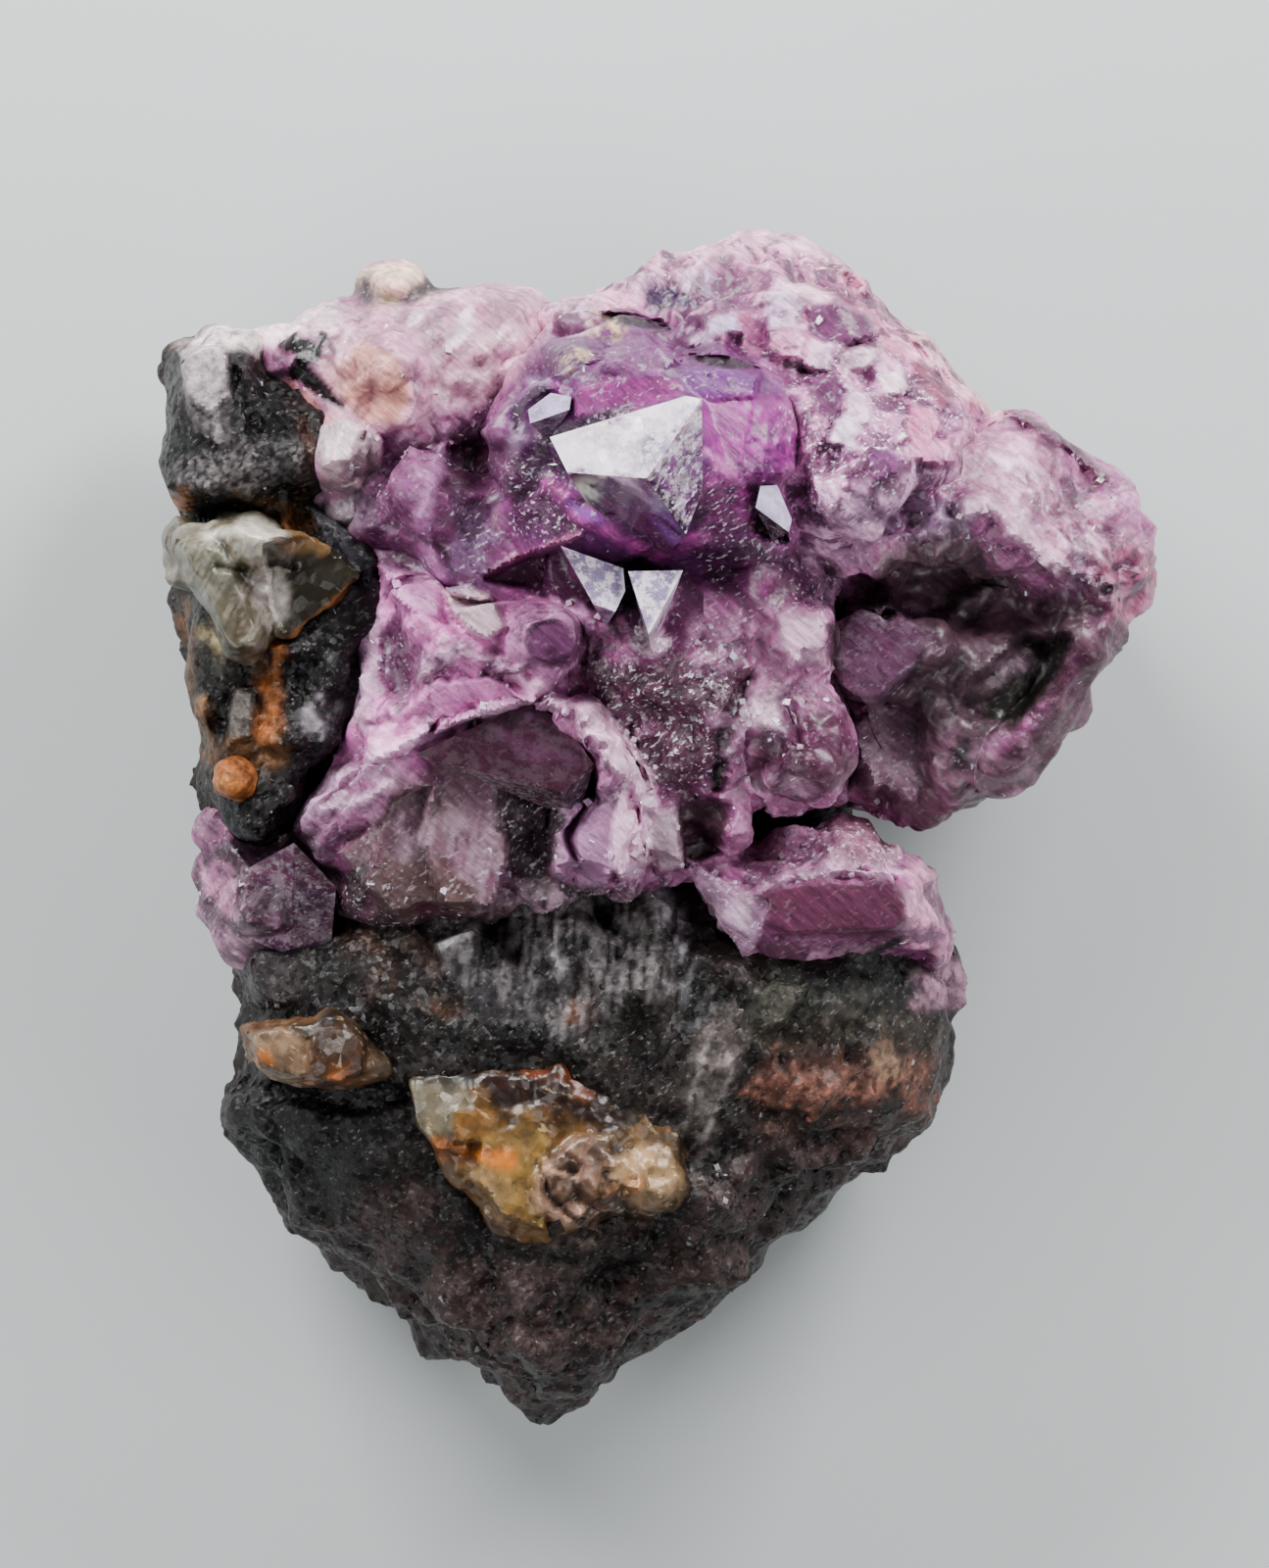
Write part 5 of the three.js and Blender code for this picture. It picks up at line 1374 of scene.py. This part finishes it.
# Looks: scoops and relief as (cell, depth), the size of the hollows or rhombs and how much of their
# height shows; hollow and frost as (colour, share, tone where it begins, tone where it is full).
# The hollow colour is painted shade in the hollows, and the frost colour a pale on the crests that
# is partly frost and partly painted highlight. Facets and shades set how much each large rhomb face
# is painted lighter or darker, as painted shade.
crustLook = {
    "rounds": 2, "warp": 2, "scoops": (2.6, 1.5), "crests": 0.6,
    "relief": [(1.9, 1.4), (0.8, 0.4), (0.38, 0.1)], "hollow": ((96, 36, 86), 0.75, 0, 1.4),
    "frost": ((240, 214, 236), 0.32, 0.9, 2), "finish": 0.05, "facets": 1.6, "shades": 0.5,
    "edge": 0.5, "depth": (0.78, 0.56, 0.68),
}
domeLook = {
    **crustLook, "warp": 1.2, "scoops": (2.8, 1), "crests": 0.5,
    "relief": [(2.4, 1.5), (0.9, 0.3), (0.4, 0.08)], "hollow": ((66, 22, 70), 0.65, 0.1, 1.5),
    "frost": ((196, 140, 206), 0.14, 0.8, 2), "finish": 0.03, "facets": 1, "shades": 0.2,
    "depth": (0.68, 0.42, 0.6),
}
smoothLook = {
    **crustLook, "rounds": 3, "warp": 1.2, "scoops": (3, 0.8), "crests": 0.4,
    "relief": [(2, 0.5), (0.8, 0.24), (0.4, 0.08)], "hollow": ((130, 74, 106), 0.5, 0.4, 1.6),
    "frost": ((240, 214, 226), 0.35, 0.6, 1.8), "finish": 0.06, "facets": 0.5,
    "depth": (0.8, 0.64, 0.7),
}
rockLook = {
    **crustLook, "rounds": 0, "warp": 1.2, "scoops": (2.6, 0.5), "crests": 0.2,
    "relief": [(2.4, 1.3), (0.9, 0.4), (0.4, 0.12)], "hollow": ((5, 4, 5), 0.8, -0.2, 1.2),
    "frost": ((84, 76, 76), 0.3, 1, 2.4), "finish": 0, "facets": 1.4, "edge": 0.8,
    "depth": (0.66, 0.62, 0.6),
}
goldenLook = {
    **rockLook, "warp": 0.6, "scoops": (2.2, 0.4), "relief": [(1.8, 1), (0.6, 0.3), (0.3, 0.1)],
    "hollow": ((22, 12, 7), 0.85, -0.3, 1.1), "frost": ((190, 160, 112), 0.15, 0.9, 2.2),
    "facets": 1.6, "edge": 1, "depth": (0.5, 0.43, 0.35),
}
quartzLook = {
    **rockLook, "warp": 0.6, "scoops": (2.4, 0.4),
    "relief": [(2.2, 1.1), (0.8, 0.35), (0.36, 0.09)], "hollow": ((44, 40, 32), 0.8, -0.1, 1.2),
    "frost": ((216, 216, 212), 0.25, 0.7, 1.9), "facets": 1, "edge": 1,
    "depth": (0.5, 0.46, 0.4),
}
foldLook = {
    **crustLook, "scoops": (2.6, 0.8), "relief": [(1.7, 0.8), (0.7, 0.32), (0.36, 0.08)],
    "facets": 1.1,
}
lobeLook = {
    **crustLook, "scoops": (2.6, 1), "relief": [(1.7, 0.9), (0.7, 0.32), (0.36, 0.08)],
    "facets": 1.2, "edge": 0.7,
}
knobLook = {
    **smoothLook, "relief": [(1.2, 0.3), (0.4, 0.08)], "hollow": ((90, 48, 20), 0.7, -0.2, 1),
    "frost": ((236, 176, 110), 0.3, 0.8, 1.8), "depth": (0.8, 0.7, 0.6),
}
crownLook = {
    **crustLook, "scoops": (2.4, 0.5), "crests": 0.3,
    "relief": [(1.5, 1.3), (0.7, 0.45), (0.36, 0.1)], "hollow": ((104, 50, 96), 0.85, -0.2, 0.8),
    "facets": 2.4, "finish": 0.02,
}

# The grown pieces: their lumps, the size of the skin's squares in mm, base colour and marks, and
# the material, slot and CAD node that they go with
crust = {
    "voxel": 0.1, "look": foldLook, "base": (168, 104, 152), "marks": crustMarks,
    "material": "pinkCalcite", "slot": "pink_calcite", "node": "pink_calcite",
}
rock = {
    "voxel": 0.1, "look": rockLook, "base": (32, 25, 22), "marks": rockMarks,
    "material": "wallRock", "slot": "wall_rock", "node": "wall_rock",
}
golden = {
    "voxel": 0.08, "look": goldenLook, "material": "goldenCarbonate", "slot": "golden_carbonate",
}
grownPieces = {
    "crownCrust": {**crust, "lumps": [crown, shoulder], "look": crownLook},
    "domeCrust": {**crust, "lumps": [dome, purpleHollow], "look": domeLook},
    "lobeCrust": {
        **crust, "lumps": [lobeTop, lobeUnderside, lobeRim, lobeBud, lobeFoot], "look": lobeLook,
    },
    "foldCrust": {
        **crust, "lumps": [
            leftFold, lowerFold, pittedBud, rimPlate, hangingPlates, smokySlope, crustBed,
        ],
    },
    "slopeCrust": {**crust, "lumps": [column, columnHead, columnBelly, darkSlope, shelf]},
    "leftCrust": {
        **crust, "lumps": [upperLeft, salmonDome, creamCap, milkyBud, milkyFoot],
        "look": smoothLook,
    },
    "footCrust": {**crust, "lumps": [footCluster], "look": crustLook},
    "lowerRock": {**rock, "lumps": [lowerBody], "voxel": 0.11},
    "leftRock": {**rock, "lumps": [wallTop, wallMiddle, wallFoot]},
    "backRock": {**rock, "lumps": [backSlab], "voxel": 0.28},
    "knob": {
        **rock, "lumps": [limoniteKnob], "voxel": 0.08, "look": knobLook, "base": (178, 112, 60),
        "marks": {},
    },
    "goldenLump": {
        **golden, "lumps": [goldenLump], "base": (112, 84, 46), "marks": goldenMarks,
        "node": "golden_carbonate",
    },
    "goldenLedge": {
        **golden, "lumps": [goldenLedge], "base": (112, 82, 58), "marks": ledgeMarks,
        "node": "golden_ledge",
    },
    "quartzLedge": {
        "lumps": [quartzColumn, quartzCrest, quartzWedge], "voxel": 0.08, "look": quartzLook,
        "base": (96, 90, 74), "marks": quartzMarks, "material": "milkyQuartz", "slot": "quartz",
        "node": "quartz_ledge",
    },
}
skins = {name: grownPiece(name, **facts) for name, facts in grownPieces.items()}


# Crystals by their outer corner and three edges: corner i, j, k is tip + i * a + j * b + k * c
rhombSides = np.array([
    (0, 1, 3, 2), (4, 6, 7, 5), (0, 4, 5, 1), (2, 3, 7, 6), (0, 2, 6, 4), (1, 5, 7, 3),
])
rhombCorners = 8


# One rhomb for each tip and its three edges, its sides turned outward
def rhombs(tips, edges):
    steps = np.array(list(itertools.product((0, 1), repeat=3)), float)
    points = tips[:, None, :] + np.einsum("sk,nkx->nsx", steps, edges)
    turning = np.linalg.det(edges) > 0
    sides = np.where(turning[:, None, None], rhombSides, rhombSides[:, ::-1])
    faces = sides + (np.arange(len(tips)) * rhombCorners)[:, None, None]
    return points.reshape(-1, 3), faces.reshape(-1, 4)


# Rhomb edges round each axis: the trigonal edges spun by an angle, in a frame whose z is -axis
def edgesRound(axes, spins, sizes):
    helper = np.where(np.abs(axes[:, 2:]) < 0.9, (0, 0, 1), (1, 0, 0))
    side = np.cross(helper, axes)
    side /= np.linalg.norm(side, axis=1)[:, None]
    other = np.cross(axes, side)
    edges = []
    for k in range(3):
        turn = spins + k * 2 * math.pi / 3
        flat = side * np.cos(turn)[:, None] + other * np.sin(turn)[:, None]
        edges.append((flat * math.sin(edgeLean) - axes * math.cos(edgeLean)) * sizes[:, None])
    return np.stack(edges, axis=1)


# A flat triangle as a grid of small ones: start + i / n * (first - start) + j / n * (second -
# start), with a face on each grid square's near half and, inside the rim, on its far half
def triangleGrid(start, first, second, n):
    i, j = (grid.ravel() for grid in np.meshgrid(np.arange(n + 1), np.arange(n + 1), indexing="ij"))
    kept = i + j <= n
    number = np.full((n + 1, n + 1), -1)
    number[i[kept], j[kept]] = np.arange(kept.sum())
    points = start + np.outer(i[kept] / n, first - start) + np.outer(j[kept] / n, second - start)
    inside = i + j < n
    i, j = i[inside], j[inside]
    near = np.stack([number[i, j], number[i + 1, j], number[i, j + 1]], axis=1)
    whole = number[i + 1, j + 1] >= 0
    i, j = i[whole], j[whole]
    far = np.stack([number[i + 1, j], number[i + 1, j + 1], number[i, j + 1]], axis=1)
    return points, np.concatenate([near, far])


# A crystal drawn on the picture: its ends are the corner that stands out and the ends a, b and c of
# three edges, as (column, row, height), and between two edges a face may have more points to its
# outline. Each point lies in the face's plane: corner + s * (a - corner) + t * (b - corner). The
# rim goes down by a depth into the crust, drawn in a little. Gives flat triangles and their faces.
def drawnCrystal(crystal, depth=3, drawnIn=0.85):
    corner, a, b, c = (np.array([*spot(column, row), z]) for column, row, z in crystal["ends"])
    rim, flats = [], []
    for first, second, face in ((a, b, "ab"), (b, c, "bc"), (c, a, "ca")):
        plane = np.stack([first - corner, second - corner], axis=1)
        loop = [first]
        for column, row in crystal[face]["rim"]:
            share = np.linalg.solve(plane[:2], np.array(spot(column, row)) - corner[:2])
            loop.append(corner + plane @ share)
        flats += [(corner, here, there, face) for here, there in zip(loop, loop[1:] + [second])]
        rim += loop
    middle = np.mean(rim, axis=0)
    foot = [middle + (point - middle) * drawnIn - (0, 0, depth) for point in rim]
    bottom = np.mean(foot, axis=0)
    for here, there, low, lower in zip(rim, rim[1:] + rim[:1], foot, foot[1:] + foot[:1]):
        sides = (here, low, there), (there, low, lower), (bottom, lower, low)
        flats += [(*side, "side") for side in sides]
    return flats


# A face by its colour and finish, and the points of its outline; ab lies between the edges to a
# and b, and so on
def face(colour, frost=0.1, glitter=0.2, scratches=0.5, rim=()):
    return {"colour": colour, "finish": (frost, glitter, scratches), "rim": rim}


# Painted reflection: the light grey-lilac ab faces of the central, hanging and small crystals, with
# the central one's frost, stand in for the lights mirrored in those flat faces
drawnCrystals = {
    "central": {
        "ends": [(660, 488, 18.1), (716, 407, 17.9), (579, 482, 17.7), (700, 545, 16)],
        "ab": face((132, 114, 150), frost=0.8, glitter=0.6, scratches=0.3,
            rim=[(700, 404), (561, 446)]),
        "bc": face((80, 16, 68), frost=0.02, glitter=0.1, scratches=0.6,
            rim=[(600, 515), (681, 566)]),
        "ca": face((112, 66, 116), frost=0.52, glitter=2, rim=[(717, 500)]),
    },
    "left hanging": {
        "ends": [(606, 617, 16.3), (628, 624, 16), (572, 557, 15.6), (618, 640, 14.8)],
        "ab": face((124, 114, 144), frost=0.6, scratches=0.5, rim=[(638, 603), (636, 580)]),
        "bc": face((84, 40, 78), frost=0.1),
        "ca": face((116, 78, 118), frost=0.2),
    },
    "right hanging": {
        "ends": [(662, 647, 16.6), (697, 582, 15.8), (641, 583, 15.8), (665, 668, 14.8)],
        "ab": face((124, 114, 144), frost=0.6, scratches=0.5),
        "bc": face((100, 60, 98), frost=0.3),
        "ca": face((142, 100, 140), frost=0.4),
    },
    "small left": {
        "ends": [(541, 432, 15.9), (581, 418, 15.7), (539, 418, 15.6), (560, 452, 14.6)],
        "ab": face((160, 148, 184), frost=0.2, rim=[(583, 405), (562, 401)]),
        "bc": face((70, 44, 74)),
        "ca": face((84, 58, 88)),
    },
    "small right": {
        "ends": [(771, 518, 16), (805, 543, 15.7), (776, 496, 15.7), (788, 552, 14.6)],
        "ab": face((158, 150, 178), frost=0.2, rim=[(808, 530), (793, 495)]),
        "bc": face((34, 14, 32)),
        "ca": face((40, 18, 38)),
    },
    "smoky": {
        "ends": [(572, 808, 14.4), (606, 780, 14.1), (424, 770, 13.7), (590, 838, 12.8)],
        "ab": face((44, 18, 32), frost=0.02, glitter=0, scratches=0.15,
            rim=[(578, 738), (541, 718), (492, 738)]),
        "bc": face((64, 38, 52), frost=0.1),
        "ca": face((40, 20, 32), frost=0.05),
    },
    "foot prism": {
        "ends": [(300, 860, 11.6), (343, 905, 11), (255, 885, 11), (296, 975, 9.8)],
        "ab": face((112, 72, 104), frost=0.3, scratches=0.9),
        "bc": face((94, 54, 84), frost=0.2, scratches=0.9, rim=[(246, 955)]),
        "ca": face((62, 32, 56), frost=0.1, scratches=0.7, rim=[(338, 962)]),
    },
}
# Each flat has its own points while it is marked, so two faces can differ along their edge; then
# points in one place become one, and the paint stays with the face corners
crystalSteps = 20
sideLook = face((84, 44, 82))
shapes, bases, ups, looks = [], [], [], []
for crystal in drawnCrystals.values():
    for start, first, second, side in drawnCrystal(crystal):
        shapes.append(triangleGrid(start, first, second, crystalSteps))
        look = crystal.get(side, sideLook)
        normal = np.cross(first - start, second - start)
        count = len(shapes[-1][0])
        bases.append(np.tile(linear(look["colour"]), (count, 1)))
        ups.append(np.tile(normal / np.linalg.norm(normal), (count, 1)))
        looks.append(np.tile(look["finish"], (count, 1)))
points, faces = joinedShapes(shapes)
bases, ups, looks = (np.concatenate(part) for part in (bases, ups, looks))
points, colours, frosting, *_ = marked(points, ups, bases, crystalMarks)
looks[:, 0] = np.clip(looks[:, 0] * frosting, 0, 1)
_, kept, same = np.unique(np.round(points, 4), axis=0, return_index=True, return_inverse=True)
corners = faces.ravel()
addPiece(
    "drawnCrystals", points[kept], same.ravel()[faces].tolist(),
    {"paint": colours[corners], "finish": looks[corners]}, materials["clearCalcite"],
    "pink_calcite", "pink_calcite", domain="CORNER")
print("drawn crystals", len(drawnCrystals))


# Crystals strewn over a skin where its glitter is high. Each grows out of a point of the skin by
# part of its size; many are small and few large, as a power of chance.
def strewnOver(name, skins, strewn, material, slot, node):
    chance = np.random.default_rng(strewn["seed"])
    skinPoints, skinNormals, skinColours, glitter = (np.concatenate(part) for part in zip(*skins))
    facing = np.flatnonzero(skinNormals[:, 2] > strewn["facing"])
    weight = np.maximum(glitter[facing], 0)
    count = strewn["count"]
    chosen = chance.choice(facing, count, replace=False, p=weight / weight.sum())
    spread = chance.random(count) ** strewn["power"]
    sizes = strewn["smallest"] + (strewn["largest"] - strewn["smallest"]) * spread
    axes = skinNormals[chosen] + strewn["lean"] * (chance.random((count, 3)) - 0.5)
    axes /= np.linalg.norm(axes, axis=1)[:, None]
    tips = skinPoints[chosen] + axes * (strewn["rise"] * sizes)[:, None]
    points, faces = rhombs(tips, edgesRound(axes, chance.random(count) * 2 * math.pi, sizes))
    # Painted sparkle: each crystal takes the skin's colour made lighter or darker by chance, and a
    # share are paled towards the pale colour, standing in for the glints of tiny facets
    shade = strewn["darkest"] + (strewn["lightest"] - strewn["darkest"]) * chance.random((count, 1))
    pale = linear(strewn["pale"])
    tint = skinColours[chosen] * shade
    tint += (pale - tint) * (chance.random((count, 1)) < strewn["paleShare"]) * strewn["paling"]
    finish = np.tile((strewn["frost"], strewn["glitter"], 0), (count, 1))
    paint, finish = (np.repeat(part, rhombCorners, axis=0) for part in (tint, finish))
    layers = {"paint": paint, "finish": finish}
    addPiece(name, points, faces.tolist(), layers, materials[material], slot, node)
    print(name, count)


# The pale share and paling of these crystals are painted sparkle
smallCrystals = {
    "count": 9000, "smallest": 0.06, "largest": 0.19, "power": 2, "facing": -0.1, "lean": 1,
    "rise": 0.16, "darkest": 0.8, "lightest": 1.6, "pale": (236, 222, 236), "paleShare": 0.25,
    "paling": 0.7, "frost": 0.3, "glitter": 0.4, "seed": 7,
}
rockSparkles = {
    "count": 3200, "smallest": 0.06, "largest": 0.16, "power": 2, "facing": 0, "lean": 1.4,
    "rise": 0.2, "darkest": 0.6, "lightest": 2, "pale": (150, 144, 148), "paleShare": 0.06,
    "paling": 0.7, "frost": 0, "glitter": 0.4, "seed": 5,
}
crustSkins = [skin for name, skin in skins.items() if name.endswith("Crust")]
rockSkins = [skins["lowerRock"], skins["leftRock"]]
strewnOver(
    "smallCrystals", crustSkins, smallCrystals, "clearCalcite", "pink_calcite", "pink_calcite")
strewnOver("rockSparkles", rockSkins, rockSparkles, "wallRock", "wall_rock", "wall_rock")


# Floor, light and camera

studio = {
    "floorColour": (190, 195, 196), "floorHalf": 2, "floorRoughness": 0.9,
    "airColour": (0.92, 0.96, 1, 1), "airStrength": 0.16,
}
floorMaterial, floorShader = principled("paleFloor", Roughness=studio["floorRoughness"])
floorShader.inputs["Base Color"].default_value = (*linear(studio["floorColour"]), 1)
half = studio["floorHalf"]
floorCorners = [(-half, -half, 0), (half, -half, 0), (half, half, 0), (-half, half, 0)]
floorMesh = bareMesh("floor", floorCorners, [(0, 1, 2, 3)])
floorMesh.materials.append(floorMaterial)
floor = bpy.data.objects.new("floor", floorMesh)
bpy.context.collection.objects.link(floor)

world = bpy.data.worlds.new("studio")
bpy.context.scene.world = world
world.use_nodes = True
air = world.node_tree.nodes["Background"]
air.inputs["Color"].default_value = studio["airColour"]
air.inputs["Strength"].default_value = studio["airStrength"]

lights = {
    "topLeft": {"at": (-85, 115, 85), "size": 70, "power": 0.5},
    "topRight": {"at": (85, 115, 85), "size": 70, "power": 0.46},
    "leftFill": {"at": (-150, -60, 130), "size": 120, "power": 0.2},
    "rightFill": {"at": (150, -60, 130), "size": 120, "power": 0.2},
}
for name, light in lights.items():
    lamp = bpy.data.lights.new(name, "AREA")
    lamp.size = light["size"] * mm
    lamp.energy = light["power"]
    stand = bpy.data.objects.new(name, lamp)
    stand.location = np.asarray(light["at"]) * mm
    towards = np.array((0, 0, cameraFacts["facePlane"])) * mm - np.asarray(stand.location)
    stand.rotation_mode = "QUATERNION"
    stand.rotation_quaternion = Vector(towards).to_track_quat("-Z", "Y")
    bpy.context.collection.objects.link(stand)

camera = bpy.data.cameras.new("camera")
camera.sensor_width = cameraFacts["sensor"]
camera.lens = cameraFacts["sensor"] * cameraFacts["distance"] / cameraFacts["frameHeight"]
camera.clip_start = 0.01
camera.clip_end = 10
viewer = bpy.data.objects.new("camera", camera)
viewer.location = (*eyePlace, eyeHeight)
bpy.context.collection.objects.link(viewer)
bpy.context.scene.camera = viewer
